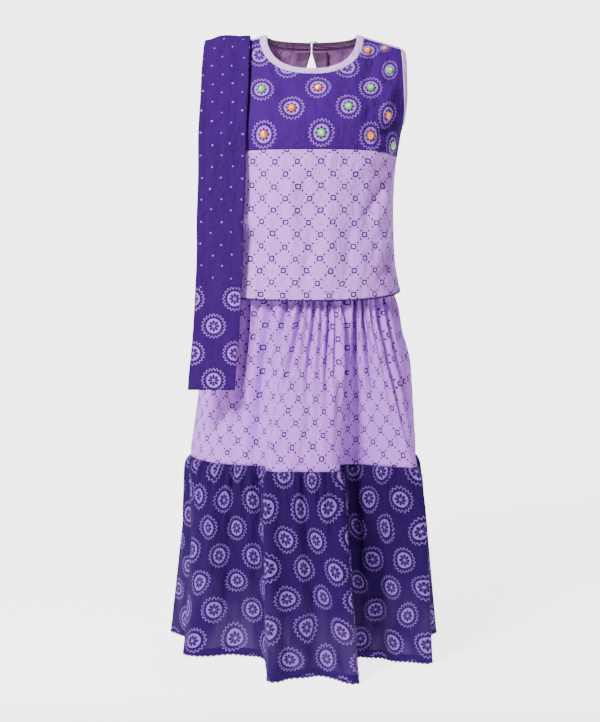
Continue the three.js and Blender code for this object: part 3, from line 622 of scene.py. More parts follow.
# Troughs and ridges on the figure: x from its axis and z at both ends, half-width and height.
CREASES = {
    "front": [
        (119, -176, 82, -292, 7, 2.2), (112, -182, 70, -262, 6, -1.9),
        (117, -226, 88, -330, 8, 2.0), (119, -262, 96, -344, 7, -1.8),
        (102, -150, 62, -196, 9, 1.7), (-112, -196, -58, -290, 9, 1.9),
        (-98, -240, -42, -336, 8, -1.8), (-30, -180, -16, -300, 12, 1.6),
        (34, -206, 24, -352, 11, 1.7), (6, -270, -4, -362, 8, -1.5),
        (58, -250, 52, -356, 8, -1.6), (-64, -300, -70, -362, 8, 1.6),
        (112, -72, 84, -134, 9, 2.0), (118, -112, 88, -150, 8, -1.8),
        (-110, -80, -80, -146, 10, 1.8), (-46, -70, -8, -128, 12, -1.3),
        (40, -62, 16, -120, 11, 1.3), (92, -22, 66, -74, 10, -1.3),
        (-20, -150, 30, -160, 7, 1.0),
    ],
    "back": [
        (-118, -180, -78, -296, 7, 2.1), (-110, -190, -66, -276, 6, -1.8),
        (116, -186, 72, -286, 8, 2.0), (106, -214, 58, -316, 7, -1.7),
        (-116, -262, -92, -346, 8, 1.8), (-30, -150, -20, -300, 12, 1.7),
        (28, -170, 36, -340, 11, 1.7), (4, -230, 2, -356, 9, -1.6),
        (60, -276, 56, -354, 8, 1.5), (-58, -280, -62, -352, 8, -1.5),
        (-108, -66, -70, -128, 10, 1.8), (106, -60, 66, -134, 11, 1.9),
        (-50, -110, -26, -160, 10, -1.3), (54, -118, 30, -176, 9, -1.4),
        (-76, -40, -52, -84, 9, 1.2),
    ],
}
SMALL_FOLDS = {"front": 40, "back": 44}
CREASE_STRENGTH = 2.3
UNDER_STRIP = 0.35       # share of the creases' height left where the dupatta lies on the choli


def small_creases(side):
    """Shallow creases of uneven length and direction between the main ones."""
    rows = []
    for _ in range(SMALL_FOLDS[side]):
        x, z = rng.uniform(-104, 104), rng.uniform(-345, -50)
        length, lean = rng.uniform(14, 48), rng.normal(0, 0.5)
        rows.append((x, z, x + length * math.sin(lean), z - length * math.cos(lean),
                     rng.uniform(2.2, 5), rng.uniform(-0.55, 0.55)))
    return rows


ALL_CREASES = {side: CREASES[side] + small_creases(side) for side in CREASES}


def crease_height(side, x, z):
    """The creases' height, which dies away at side seam and shoulder and under the dupatta."""
    place = np.stack(np.broadcast_arrays(x, z), -1)
    out = np.zeros(place.shape[:-1])
    for x0, z0, x1, z1, width, height in ALL_CREASES[side]:
        start, line = np.array([x0, z0]), np.array([x1 - x0, z1 - z0])
        along = ((place - start) @ line) / (line @ line)
        nearest = start + np.clip(along, 0, 1)[..., None] * line
        away = np.linalg.norm(place - nearest, axis=-1)
        taper = np.sin(math.pi * np.clip(along, 0.04, 0.96)) ** 0.8
        out += height * taper * np.exp(-(away / width) ** 2)
    side_seam = smooth((1 - np.abs(x) / column("half_width", z)) / 0.12)
    shoulder = smooth((shoulder_line(x) - z) / 26)
    under = smooth((-62 - x) / 10) * smooth((z + 200) / 30)
    return CREASE_STRENGTH * out * side_seam * shoulder * mix(1, UNDER_STRIP, under)


def from_axis(grid):
    return grid[..., 0] - column("axis", grid[..., 2])


def with_creases(side, grid):
    """The grid moved out by the creases along the figure's own normal."""
    x, z = from_axis(grid), grid[..., 2]
    return grid + figure_normal(side, x, z) * crease_height(side, x, z)[..., None]


def cloth_place(side, x, z, z_zero):
    """Lengths of cloth, from the axis and from a height, to a place on the figure."""
    x, z = np.broadcast_arrays(np.asarray(x, float), np.asarray(z, float))
    steps = 36
    reach = 0.5 / steps
    across, upward = np.zeros(x.shape), np.zeros(x.shape)
    for share in (np.arange(steps) + 0.5) / steps:
        a, b = (on_figure(side, x * (share + move), z) for move in (-reach, reach))
        across += np.linalg.norm(b - a, axis=-1)
        a, b = (on_figure(side, x * 0.7, mix(z_zero, z, share + move)) for move in (-reach, reach))
        upward += np.linalg.norm((b - a)[..., 1:], axis=-1)
    return np.stack([np.sign(x) * across, np.sign(z - z_zero) * upward], -1)


# ---- the choli

YOKE_ZERO = YOKE_SEAM["centre"]
ACROSS = np.concatenate([-np.linspace(1, 0, 76)[:-1], np.linspace(0, 1, 76)])


def panel_grid(side, point, levels):
    u, v = np.meshgrid(ACROSS if side == "front" else ACROSS[::-1], levels)
    grid = point(side, u, v)
    return with_creases(side, grid), cloth_place(side, from_axis(grid), grid[..., 2], YOKE_ZERO)


# Stones: x from the axis, z and colour.
STONES = [
    (-62, -142.5, "orange"), (14, -140.5, "green"), (80, -143.5, "orange"),
    (-26.5, -106, "orange"), (49, -105, "green"), (102, -115.5, "orange"),
    (-67, -81, "green"), (8.5, -79, "orange"), (79, -78, "green"),
    (105.5, -52.5, "green"), (75.5, -25, "orange"), (99, -21, "orange"), (111, -155, "green"),
]
# Flowers of the yoke's print that bear no stone: x from the axis and z.
PLAIN_FLOWERS = [(-71, -32), (-32.7, -50), (47.4, -50), (-103, -106), (-106, -54), (-128, -143)]
FLOWER_SCALE = (1.06, 1.17)
# Flowers drawn smaller, where the cloth is eased over the shoulder.
SMALL_FLOWERS = {(75.5, -25): (1.0, 0.75), (99, -21): (0.6, 0.42), (105.5, -52.5): (0.72, 1.0)}


def print_yoke(yoke):
    """Gives each face the offset from the nearest printed flower, so that flowers lie under
    the stones."""
    places = [(x, z) for x, z, _ in STONES] + PLAIN_FLOWERS
    centres = np.array([cloth_place("front", x, z, YOKE_ZERO) for x, z in places])
    scales = np.array([SMALL_FLOWERS.get(place, FLOWER_SCALE) for place in places])
    corners = np.zeros(len(yoke.data.loops) * 2, np.float32)
    yoke.data.uv_layers["cloth"].data.foreach_get("uv", corners)
    corners = corners.reshape(-1, 4, 2) / MM
    stretched = (corners.mean(1)[:, None] - centres[None]) / scales[None]
    at = np.linalg.norm(stretched, axis=-1).argmin(1)
    offsets = (corners - centres[at][:, None]) / scales[at][:, None] * MM
    layer = yoke.data.uv_layers.new(name="print")
    layer.data.foreach_set("uv", offsets.astype(np.float32).ravel())


SLIT = {"shut": -21, "foot": -92, "half_gap": 0.6, "half_width": 8.8, "widest": 0.55}


def slit_half_width(z):
    """Half the tear-shaped slit's width: a narrow gap at its shut top, none under its foot."""
    t = (SLIT["shut"] - z) / (SLIT["shut"] - SLIT["foot"])
    wide = SLIT["widest"]
    falling = np.sqrt(np.clip(1 - ((t - wide) / (1 - wide)) ** 2, 0, 1))
    tear = np.where(t < wide, np.sin(np.clip(t / wide, 0, 1) * math.pi / 2), falling)
    least = np.where(t < wide, SLIT["half_gap"], 0)
    half = np.maximum(SLIT["half_width"] * tear, least)
    return np.where(t >= 1, 0, np.where(t <= 0, SLIT["half_gap"], half))


def cut_slit(panel):
    """Cuts the back with a prism along +Y in the slit's outline."""
    levels = np.concatenate([[8.0], np.linspace(SLIT["shut"], SLIT["foot"], 40)])
    half = slit_half_width(levels)
    axis = column("axis", levels)
    outline = list(zip(axis - half, levels)) + list(zip(axis + half, levels))[-2::-1]
    count = len(outline)
    points = [(x, y, z) for y in (5, 125) for x, z in outline]
    sides = [(count + i, count + (i + 1) % count, (i + 1) % count, i) for i in range(count)]
    ends = [tuple(range(count)), tuple(range(count, 2 * count))[::-1]]
    cutter = make_object("slit", points, sides + ends, smooth_faces=False)
    change = panel.modifiers.new("slit", "BOOLEAN")
    change.operation = "DIFFERENCE"
    change.solver = "EXACT"
    change.object = cutter
    bpy.context.view_layer.objects.active = panel
    bpy.ops.object.modifier_apply(modifier=change.name)
    bpy.data.objects.remove(cutter, do_unlink=True)


def make_choli():
    yoke = cloth_object("yoke_front", *panel_grid("front", upper_point, np.linspace(0, 1, 92)),
                        SHELL, False)
    print_yoke(yoke)
    seam = SEAM / (YOKE_SEAM["centre"] - CHOLI_HEM["front"])
    body = cloth_object("body_front", *panel_grid("front", lower_point,
                                                  np.linspace(0, 1 - seam, 96)), SHELL, False)
    lower = panel_grid("back", lower_point, np.linspace(0, 1, 90)[:-1])
    upper = panel_grid("back", upper_point, np.linspace(0, 1, 84))
    back = cloth_object("back", *[np.concatenate(pair) for pair in zip(lower, upper)], SHELL, False)
    cut_slit(back)
    return yoke, body, back


# ---- the ghagra

def fold_ring(turn_column, reach_column, shift):
    turn, reach = np.radians(FOLDS[:, turn_column]), FOLDS[:, reach_column]
    return np.stack([shift + reach * np.sin(turn), -reach * np.cos(turn)], -1)


def sharp_fold_points(z):
    hip = fold_ring(0, 1, HIP_AXIS)
    if z >= HIP:
        angle = np.arctan2(hip[:, 0] - HIP_AXIS, -hip[:, 1])
        rear = np.where(np.cos(angle) < 0, WAIST_RING["back"], WAIST_RING["front"])
        waist = np.stack([WAIST_RING["axis"] + WAIST_RING["half_width"] * np.sin(angle),
                          -rear * np.cos(angle)], -1)
        t = math.sin(np.clip((BAND_FOOT - z) / (BAND_FOOT - HIP), 0, 1) * math.pi / 2)
        return mix(waist, hip, t)
    seam = fold_ring(2, 3, 0)
    if z >= TIER_SEAM:
        return mix(hip, seam, (HIP - z) / (HIP - TIER_SEAM))
    return mix(seam, fold_ring(4, 5, 0), ((TIER_SEAM - z) / (TIER_SEAM - HEM)) ** 0.9)


def fold_points(z):
    """The crests and troughs at a height, their corners in height rounded off."""
    offsets = (-14, -7, 0, 7, 14)
    return sum(sharp_fold_points(z + o) for o in offsets) / len(offsets)


def fold_curve(points, place):
    """A closed Catmull-Rom curve through the folds, at places counted in folds."""
    i = np.floor(place).astype(int)
    t = (place - i)[:, None]
    a, b, c, d = (points[(i + k) % len(points)] for k in (-1, 0, 1, 2))
    return 0.5 * (2 * b + (c - a) * t + (2 * a - 5 * b + 4 * c - d) * t ** 2
                  + (3 * b - a - 3 * c + d) * t ** 3)


def even_places(z, count):
    """Places, counted in folds, at even lengths round the ring at a height."""
    fine = np.arange(len(FOLDS) * 24) / 24
    ring = fold_curve(fold_points(z), fine)
    step = np.linalg.norm(np.roll(ring, -1, 0) - ring, axis=1)
    lengths = np.concatenate([[0], np.cumsum(step)])
    return np.interp(np.arange(count) / count * lengths[-1], lengths, [*fine, len(FOLDS)])


def choli_share(x, y, z):
    """How far out a point lies: 0 on the choli's axis, 1 on its outer face."""
    forward = np.where(y < 0, column("front", z), column("back", z))
    across = np.abs(x) / column("half_width", z)
    power = SECTION_POWER
    return (across ** power + (np.abs(y) / forward) ** power) ** (1 / power)


CHOLI_CLEARANCE = 7.0
PAST_HEM = 10            # depth below the hem from which the ghagra may come out
GATHER_CREST = 4.5       # height of the gathers' crests, which the choli presses in


def inside_choli(ring, z):
    """Keeps the ghagra's top inside the choli until it is past the hem."""
    axis = column("axis", z)
    x, y = ring[:, 0] - axis, ring[:, 1]
    share = np.clip(np.abs(x) / column("half_width", CHOLI_HEM["side"]), 0, 1)
    u = np.arcsin(share ** (SECTION_POWER / 2)) * 2 / math.pi
    hem = np.where(y < 0, hem_level("front", u), hem_level("back", u))
    reach = np.maximum(np.hypot(x, y), 1e-6)
    past = np.maximum(hem - PAST_HEM - z, 0)
    let_out = 6 * (1 - np.exp(-past / 12)) + 0.13 * past + 20 * (past / 120) ** 4
    limit = reach / choli_share(x, y, np.maximum(z, hem)) - CHOLI_CLEARANCE + let_out
    scale = np.minimum(limit / reach, 1)
    return np.stack([axis + x * scale, y * scale], -1)


def gathered_ring(z, places, out_of):
    """A ring of the ghagra at a height, its gathers out_of millimetres out of the folds."""
    ring = fold_curve(fold_points(z), places)
    ahead = np.roll(ring, -1, 0) - np.roll(ring, 1, 0)
    normal = unit(np.stack([ahead[:, 1], -ahead[:, 0]], -1))
    loose = ring + normal * np.maximum(out_of, 0)[:, None]
    pressed = np.minimum(np.linalg.norm(loose - inside_choli(loose, z), axis=1), GATHER_CREST)
    ring = inside_choli(inside_choli(ring, z) + normal * (out_of - pressed)[:, None], z)
    return np.column_stack([ring, np.full(len(ring), z)])


def waves(turn, count, seed):
    """Folds of uneven width and depth, count of them in a whole turn."""
    p = np.random.default_rng(seed).uniform(0, TURN, 6)
    phase = count * turn + 0.35 * (2 * np.sin(3 * turn + p[0]) + np.sin(7 * turn + p[1])
                                   + 0.8 * np.sin(13 * turn + p[2]))
    depth = (0.7 + 0.3 * np.sin(5 * turn + p[3]) + 0.25 * np.sin(11 * turn + p[4])
             + 0.2 * np.sin(17 * turn + p[5]))
    return depth * np.cos(phase)


# Gathers: height, how far below the tier's top they are highest, the length over which they
# fade, their count round the ring, and a seed.
UPPER_TOP = BAND_FOOT - SEAM
UPPER_WAVES = [(5.2, 0, 260, WAIST_GATHERS, 3), (3.0, 0, 150, 2 * WAIST_GATHERS + 3, 4),
               (1.7, 130, 90, 21, 5), (1.2, UPPER_TOP - TIER_SEAM, 26, 44, 6)]
FLOUNCE_WAVES = [(3.6, 0, 75, FLOUNCE_GATHERS, 8), (2.0, 0, 40, 2 * FLOUNCE_GATHERS - 9, 9),
                 (3.6, 80, 110, 33, 10)]
HEM_WAVES = (3.2, 160, 25, 11)      # height, depth at which they are full, count and seed
FLOUNCE_PUFF = (5, 130)             # the flounce stands out under its seam, and falls back

# Deeper pleats of the upper tier: share of the ring in degrees, half-width in degrees, depth
# and how far below the waistband each runs out. A ridge stands beside each trough.
PLEATS = [(-62, 1.8, 3.5, 200), (-47, 1.8, 4.4, 230), (-31, 1.7, 5.4, 270), (-23, 1.6, 4.6, 210),
          (-17, 1.7, 5.4, 300), (-8, 1.6, 3.4, 150), (1.5, 1.8, 5.4, 270), (15, 1.7, 4.8, 230),
          (27, 1.8, 5.2, 260), (45, 2.4, 6.0, 320), (58, 1.7, 3.6, 200), (72, 1.8, 4.2, 240),
          (88, 2.0, 5.2, 300), (98, 1.8, 4.2, 260), (118, 2.6, 4.0, 260), (137, 2.2, 3.0, 160),
          (151, 2.6, 4.0, 240), (170, 2.2, 3.4, 190), (187, 2.6, 4.2, 270), (204, 2.2, 3.0, 170),
          (222, 2.4, 3.8, 230), (247, 2.2, 3.2, 200), (266, 2.4, 3.6, 260), (284, 2.2, 3.4, 210)]
TROUGH, RIDGE_SHARE = 1.7, 0.6


def gathers(rows, turn, below):
    return sum(high * math.exp(-abs(below - at) / fade) * waves(turn, count, seed)
               for high, at, fade, count, seed in rows)


def pleats(turn, below):
    out = np.zeros(len(turn))
    for centre, width, deep, run in PLEATS:
        drift = centre + 1.6 * math.sin(below / 70 + centre)
        away = (np.degrees(turn) - drift + 180) % 360 - 180
        fade = deep * smooth((run - below) / (0.5 * run))
        out -= TROUGH * fade * np.exp(-(away / width) ** 2)
        out += RIDGE_SHARE * fade * np.exp(-((away - 1.9 * width) / (1.3 * width)) ** 2)
    return out


SEAM_EASE = 16           # height over which the gathers die away into the tiers' seam
FLOUNCE_EASE = 6
TIER_GAP = 0.06
UPPER_COLUMNS = 640
FLOUNCE_COLUMNS = 840
BAND_COLUMNS = 200
UPPER_FLAT = 31.4 * 37   # whole repeats of each print
FLOUNCE_FLAT = 60.0 * 27
BAND_FLAT = 520


def upper_tier():
    places, turn = even_places(TIER_SEAM, UPPER_COLUMNS), around(UPPER_COLUMNS)
    foot = TIER_SEAM + TIER_GAP / 2
    levels = np.concatenate([[foot, foot + 4, foot + 8], np.linspace(foot + 13, -424, 18)[:-1],
                             np.linspace(-424, -343, 16)[:-1], np.linspace(-343, UPPER_TOP, 10)])
    rows = []
    for z in levels:
        below = UPPER_TOP - z
        out = gathers(UPPER_WAVES, turn, below) + pleats(turn, below)
        rows.append(gathered_ring(z, places, out * smooth((z - TIER_SEAM) / SEAM_EASE)))
    return np.array(rows)


def flounce():
    places = even_places(mix(TIER_SEAM, HEM, 0.5), FLOUNCE_COLUMNS)
    turn = around(FLOUNCE_COLUMNS)
    top = TIER_SEAM - TIER_GAP / 2
    high, full, count, seed = HEM_WAVES
    rows = []
    for z in np.concatenate([np.linspace(HEM, -640, 28)[:-1], np.linspace(-640, top, 20)]):
        below = top - z
        out = gathers(FLOUNCE_WAVES, turn, below)
        out += high * smooth(below / full) * waves(turn, count, seed)
        out += FLOUNCE_PUFF[0] * math.exp(-below / FLOUNCE_PUFF[1])
        rows.append(gathered_ring(z, places, out * (1 - math.exp(-below / FLOUNCE_EASE))))
    return np.array(rows)


def waistband():
    places, flat = even_places(WAIST, BAND_COLUMNS), np.zeros(BAND_COLUMNS)
    return np.array([gathered_ring(z, places, flat) for z in np.linspace(BAND_FOOT, WAIST, 6)])


# ---- the dupatta

# The hanging ends: height, distance from the seam plane, and the strip's two edges.
FRONT_FALL = [(-480, -98, -152, -89), (-440, -97, -149, -87), (-400, -96, -146, -84.5),
              (-366, -93, -143.5, -82), (-300, -87, -141, -79), (-230, -82, -139, -76.5)]
BACK_FALL = [(-230, 66, -139, -76.5), (-300, 74, -141, -79), (-366, 87, -143.5, -82),
             (-430, 101, -147, -86), (-500, 114, -150, -90)]
CONTACT = -84            # x at which the strip's height over the shoulder is taken
CONTACT_GAP = DUPATTA_THICKNESS / 2 + SEAT + 0.4
REST_LEVELS = [-170, -140, -115, -92, -72, -54, -38, -26, -17, -11]
REST_EDGES = {"left": (-138.5, -135), "right": (-75, -70.5)}       # low and at the top
STATIONS = 220

# Where the folded layers end along each edge, in from the strip's edge: one row a layer.
LAYER_INSETS = {"right": (1.9, 0.2, 2.7, 0.8, 1.5, 0.3), "left": (0.0, 1.6, 0.5, 2.4, 0.9, 1.8)}
LAYER_GAP = 3.4          # depth of the grooves between the layers

# Soft folds lengthwise down the strip: share across, width in shares, height, and the
# lengths between which they show.
STRIP_FOLDS = [(0.16, 0.07, -0.5, 0, 420), (0.52, 0.10, 0.7, 60, 560),
               (0.78, 0.06, -0.6, 120, 900), (0.33, 0.07, 0.5, 380, 1050),
               (0.64, 0.08, -0.5, 600, 1060), (0.9, 0.05, 0.4, 0, 300)]
EDGE_DROP = 6.0          # past the shoulder's tip the strip's outer edge falls away
TIP_SHARE = 0.5


def rest_station(side, z):
    out = unit(figure_normal(side, CONTACT, z)[1:]) * CONTACT_GAP
    t = smooth((z - REST_LEVELS[0]) / -REST_LEVELS[0])
    y = on_figure(side, CONTACT, z)[1]
    return (z + out[1], y + out[0], mix(*REST_EDGES["left"], t), mix(*REST_EDGES["right"], t))


def dupatta_route():
    """Stations along the strip's middle: z, y, left edge and right edge, at even lengths."""
    front = [rest_station("front", z) for z in REST_LEVELS]
    rear = [rest_station("back", z) for z in REST_LEVELS[::-1]]
    top = (shoulder_line(CONTACT) + CONTACT_GAP, 0, REST_EDGES["left"][1], REST_EDGES["right"][1])
    rows = np.array(FRONT_FALL + front + [top] + rear + BACK_FALL, float)
    length = np.concatenate([[0], np.cumsum(np.hypot(np.diff(rows[:, 0]), np.diff(rows[:, 1])))])
    places = np.linspace(0, length[-1], STATIONS)
    fine = np.stack([np.interp(places, length, rows[:, k]) for k in range(4)], -1)
    kernel = np.hanning(11)[1:-1]
    kernel /= kernel.sum()
    fine[4:-4] = np.stack([np.convolve(fine[:, k], kernel, "valid") for k in range(4)], -1)
    return fine, places


def strip_section():
    """Profile round the strip: share across, inset from the edge, and height."""
    half = DUPATTA_THICKNESS / 2
    profile = []
    for side, edge, up in (("right", 1, 1), ("left", 0, -1)):
        layer = 2 * half / len(LAYER_INSETS[side])
        flat = np.linspace(0.03, 0.97, 34)
        profile += [(share, 0, -up * half) for share in (flat if up > 0 else flat[::-1])]
        for k, inset in enumerate(LAYER_INSETS[side]):
            middle = (k + 0.5) * layer - half
            for part in np.linspace(-0.42, 0.42, 5):
                bulge = math.sqrt(1 - (part / 0.5) ** 2) * layer * 0.5
                profile.append((edge, inset + layer * 0.5 - bulge, up * (middle + part * layer)))
            profile.append((edge, LAYER_GAP, up * (middle + layer * 0.5)))
        profile.pop()
    return np.array(profile)


def dupatta():
    route, lengths = dupatta_route()
    share, inset, height = strip_section().T
    inward = np.where(share > 0.99, -1, np.where(share < 0.01, 1, 0))
    outer = height > DUPATTA_THICKNESS * 0.4
    wander = np.random.default_rng(21).uniform(0, TURN, 6)
    points, uvs = [], []
    # Each tangent is (z, y), and the strip's outward side is a quarter turn ahead of it.
    for (z, y, left, right), tangent, length in zip(
            route, unit(np.gradient(route[:, :2], axis=0)), lengths):
        drift = 0.7 * math.sin(length / 41 + wander[0]) + 0.5 * math.sin(length / 17 + wander[1])
        x = left + share * (right - left) + inward * inset
        x = x + drift * np.where(inward != 0, 0.8, 0.3)
        puff = 0.0
        for middle, reach, rise, start, end in STRIP_FOLDS:
            span = smooth((length - start) / 60) * smooth((end - length) / 60)
            centre = middle + 0.03 * math.sin(length / 90 + wander[2])
            puff = puff + rise * span * np.exp(-((share - centre) / reach) ** 2)
        out = height + np.where(outer, puff, 0.0)
        tip = EDGE_DROP * math.exp(-(y / 26) ** 2) * smooth((TIP_SHARE - share) / TIP_SHARE) ** 1.4
        points.append(np.stack([x + 0.35 * tip, y - out * tangent[0],
                                z + out * tangent[1] - tip], -1))
        printed = left - FRONT_FALL[0][2] + share * (right - left)
        printed = printed + np.where(inward != 0, -inward * (4 - inset), 0)
        uvs.append(np.stack([printed, np.full(len(share), length)], -1))
    uv = np.array(uvs)
    rows, count = uv.shape[:2]
    sides = quads(rows, count)
    last = (rows - 1) * count
    faces = sides.tolist() + [list(range(count))[::-1], [last + k for k in range(count)]]
    pairs = np.concatenate([uv.reshape(-1, 2)[sides].reshape(-1, 2), uv[0][::-1], uv[-1]])
    return make_object("dupatta", np.concatenate(points), faces, pairs)


# ---- bindings and facings

NECK_END = 0.005         # turn from the centre back to the binding's end
NECK_START = 0.1         # from the raw edge to the binding


def neck_edge(turn):
    """The raw neck edge at a turn: 0 is the centre front, pi / 2 the left shoulder."""
    side = "front" if math.cos(turn) >= 0 else "back"
    from_front = turn - TURN if turn > math.pi else turn
    half_turns = (from_front if side == "front" else math.pi - turn) / math.pi
    x, z = top_point(side, np.clip(half_turns * 2, -1, 1) * NECK_SHARE)
    return with_creases(side, on_figure(side, x, z)), figure_normal(side, x, z)


def rounded(across):
    """A folded strip's crown: 0 at its edges, 1 over its middle."""
    return np.sqrt(np.clip(1 - (2 * across - 1) ** 4, 0, 1))


def neck_binding():
    turns = math.pi + np.linspace(NECK_END, TURN - NECK_END, 280)
    across = np.linspace(0, 1, 13)[:, None]
    pucker = np.random.default_rng(5).normal(0, 1, len(turns))
    pucker = np.convolve(pucker, np.hanning(7) / 3, "same") * 0.12
    columns = []
    for turn, bump in zip(turns % TURN, pucker):
        point, normal = neck_edge(turn)
        step = unit(np.cross(normal, neck_edge(turn + 0.02)[0] - neck_edge(turn - 0.02)[0]))
        out = 0.55 * rounded(across) - 0.2 + bump * np.sin(math.pi * across)
        columns.append(point + step * (NECK_START + across * NECK_BINDING_WIDTH) + normal * out)
    grid = np.stack(columns, 1)
    return grid, lengths_uv(grid)


def evened(vectors):
    """Unit vectors round a closed line, each drawn to its neighbours."""
    for _ in range(3):
        vectors = unit(np.roll(vectors, 1, 0) + 2 * vectors + np.roll(vectors, -1, 0))
    return vectors


def armhole_binding(sign):
    middle = mix(UNDERARM, shoulder_line(SHOULDER_HALF_WIDTH), 0.5)
    seam = YOKE_SEAM["side"]
    underarm = (UNDERARM - seam) / (shoulder_line(SHOULDER_HALF_WIDTH) - seam)
    levels = mix(underarm, 1.0, np.sin(np.linspace(0.02, 0.98, 60) * math.pi / 2))
    halves = []
    for side, order in (("front", 1), ("back", -1)):
        line = upper_point(side, np.full(len(levels), float(sign)), levels)
        halves.append([a[::order] for a in (line, figure_normal(side, from_axis(line),
                                                                line[:, 2]))])
    points, normals = (np.concatenate(pair)[::-sign] for pair in zip(*halves))
    normals = evened(normals)
    along = np.roll(points, -1, 0) - np.roll(points, 1, 0)
    onwards = evened(unit(np.cross(normals, along)))
    inward = unit(np.stack([np.zeros(len(points)), -points[:, 1], middle - points[:, 2]], -1))
    step = unit(onwards + inward * ARMHOLE_TURN_IN)
    start = points + onwards * (SEAM + BINDING * 0.6)
    grid = np.array([start + step * share * ARMHOLE_BINDING + normals * (0.5 * rounded(share) - 0.2)
                     for share in np.linspace(0, 1, 11)])
    return grid, lengths_uv(np.concatenate([grid, grid[:, :1]], 1))


FACING_REACH = 23        # from the back's centre line
FACING_DEPTH = SHELL + SEAT + 0.9


def facing(sign):
    levels = np.linspace(SLIT["foot"] - 8, -NECK_DROP["back"] - 2, 40)
    shares = np.linspace(0, 1, 8)[::-sign]
    start = np.maximum(slit_half_width(levels), SEAM / 2) + 0.2
    x = sign * mix(start[:, None], FACING_REACH, shares)
    z = np.broadcast_to(levels[:, None], x.shape)
    grid = with_creases("back", on_figure("back", x, z)) - figure_normal("back", x, z) * FACING_DEPTH
    return grid, lengths_uv(grid)


# ---- sewing

def choli_seam(side, point, rise):
    """A line of sewing on a panel, rise millimetres over its foot."""
    across = np.linspace(-0.97, 0.97, 220)
    low, high = point(side, across, 0.0)[:, 2], point(side, across, 1.0)[:, 2]
    path = point(side, across, rise / (high - low))
    return with_creases(side, path), figure_normal(side, from_axis(path), path[:, 2])


def ring_seam(grid, closed, row):
    """A line of sewing along a grid, at a row that may lie between two."""
    low = int(row)
    return [mix(rows[low], rows[low + 1], row - low) for rows in (grid, grid_normals(grid, closed))]


def interpolated(places, at, values):
    return np.stack([np.interp(places, at, values[:, k]) for k in range(3)], -1)


def stitches(name, lines, pitch=2.6, length=1.7, radius=0.22):
    """Thread stitches along lines of (points, normals): flattened capsules joined in a mesh."""
    sides = 5
    turn = around(sides)
    template = np.array([(end * length / 2, math.cos(a) * radius * size,
                          math.sin(a) * radius * size * 0.8)
                         for end, size in ((-1, 0.35), (-0.7, 0.9), (0.7, 0.9), (1, 0.35))
                         for a in turn])
    shape = quads(4, sides).tolist() + [[4, 3, 2, 1, 0], [15, 16, 17, 18, 19]]
    points, faces = [], []
    for path, normals in lines:
        step = np.linalg.norm(np.diff(path, axis=0), axis=1)
        run = np.concatenate([[0], np.cumsum(step)])
        count = max(int(run[-1] / pitch), 1)
        places = (np.arange(count) + 0.5) * run[-1] / count
        out = unit(interpolated(places, run, normals))
        tangent = unit(interpolated(places + 0.3, run, path)
                       - interpolated(places - 0.3, run, path))
        side = unit(np.cross(out, tangent))
        for spot, t, s, n in zip(interpolated(places, run, path), tangent, side, out):
            base = len(points)
            points.extend(spot + template[:, :1] * t + template[:, 1:2] * s
                          + (template[:, 2:] + radius * 0.35) * n)
            faces.extend([base + v for v in face] for face in shape)
    return make_object(name, points, faces)


# Scalloped edging: the scallops' pitch along the cloth, and their depth.
CHOLI_SCALLOPS = (5.2, 1.5)
FLOUNCE_SCALLOPS = (7.5, 1.7)
EDGING_THICKNESS = 0.35


def scalloped(edge, down, normal, lengths, scallops):
    """Rows of a thread edging that hangs in scallops from a turned hem."""
    pitch, deep = scallops
    scallop = np.abs(np.sin(math.pi * lengths / pitch))
    rows = []
    for share in (1.0, 0.7, 0.35, 0.0, -0.35):
        drop = 0.05 + share * (0.3 + deep * scallop) if share >= 0 else 2.2 * share
        rows.append(edge + down * np.reshape(drop, (-1, 1)) + normal * 0.42)
    return np.array(rows)


def flounce_edging(grid):
    row, count = grid[0], 1260
    places = np.arange(count) / count * len(row)
    low = np.floor(places).astype(int)
    edge, down, normal = [
        mix(values[low % len(row)], values[(low + 1) % len(row)], (places - low)[:, None])
        for values in (row, unit(row - grid[2]), grid_normals(grid, True)[1])]
    lengths = np.arange(count) / count * FLOUNCE_FLAT
    made = scalloped(edge, down, normal, lengths, FLOUNCE_SCALLOPS)
    return made, ring_uv(made, FLOUNCE_FLAT)


# The choli's hem edging, whose dark thread also stands in for the shadow under the hem.
def choli_edging(side):
    across = np.linspace(-0.99, 0.99, 640)[::1 if side == "front" else -1]
    edge = lower_point(side, across, 0.0)
    normal = figure_normal(side, from_axis(edge), edge[:, 2])
    edge = with_creases(side, edge)
    down = unit(edge - with_creases(side, lower_point(side, across, 0.02)))
    made = scalloped(edge, down, normal, lengths_along(edge, 0), CHOLI_SCALLOPS)
    return made, lengths_uv(made)


# ---- stones, button and loop

SPOKES = 10              # stitches that hold each stone by its edge
STONE_SIZE = (5.3, 2.9)  # radius and height
STONE_SIZES = {(99, -21): (3.6, 2.0), (75.5, -25): (4.8, 2.6)}
# A stone's rings: share of its radius and of its height, and count of corners.
STONE_RINGS = [(0.42, 0.96, 8), (0.74, 0.68, 16), (0.97, 0.24, 16), (1.0, 0.0, 16)]


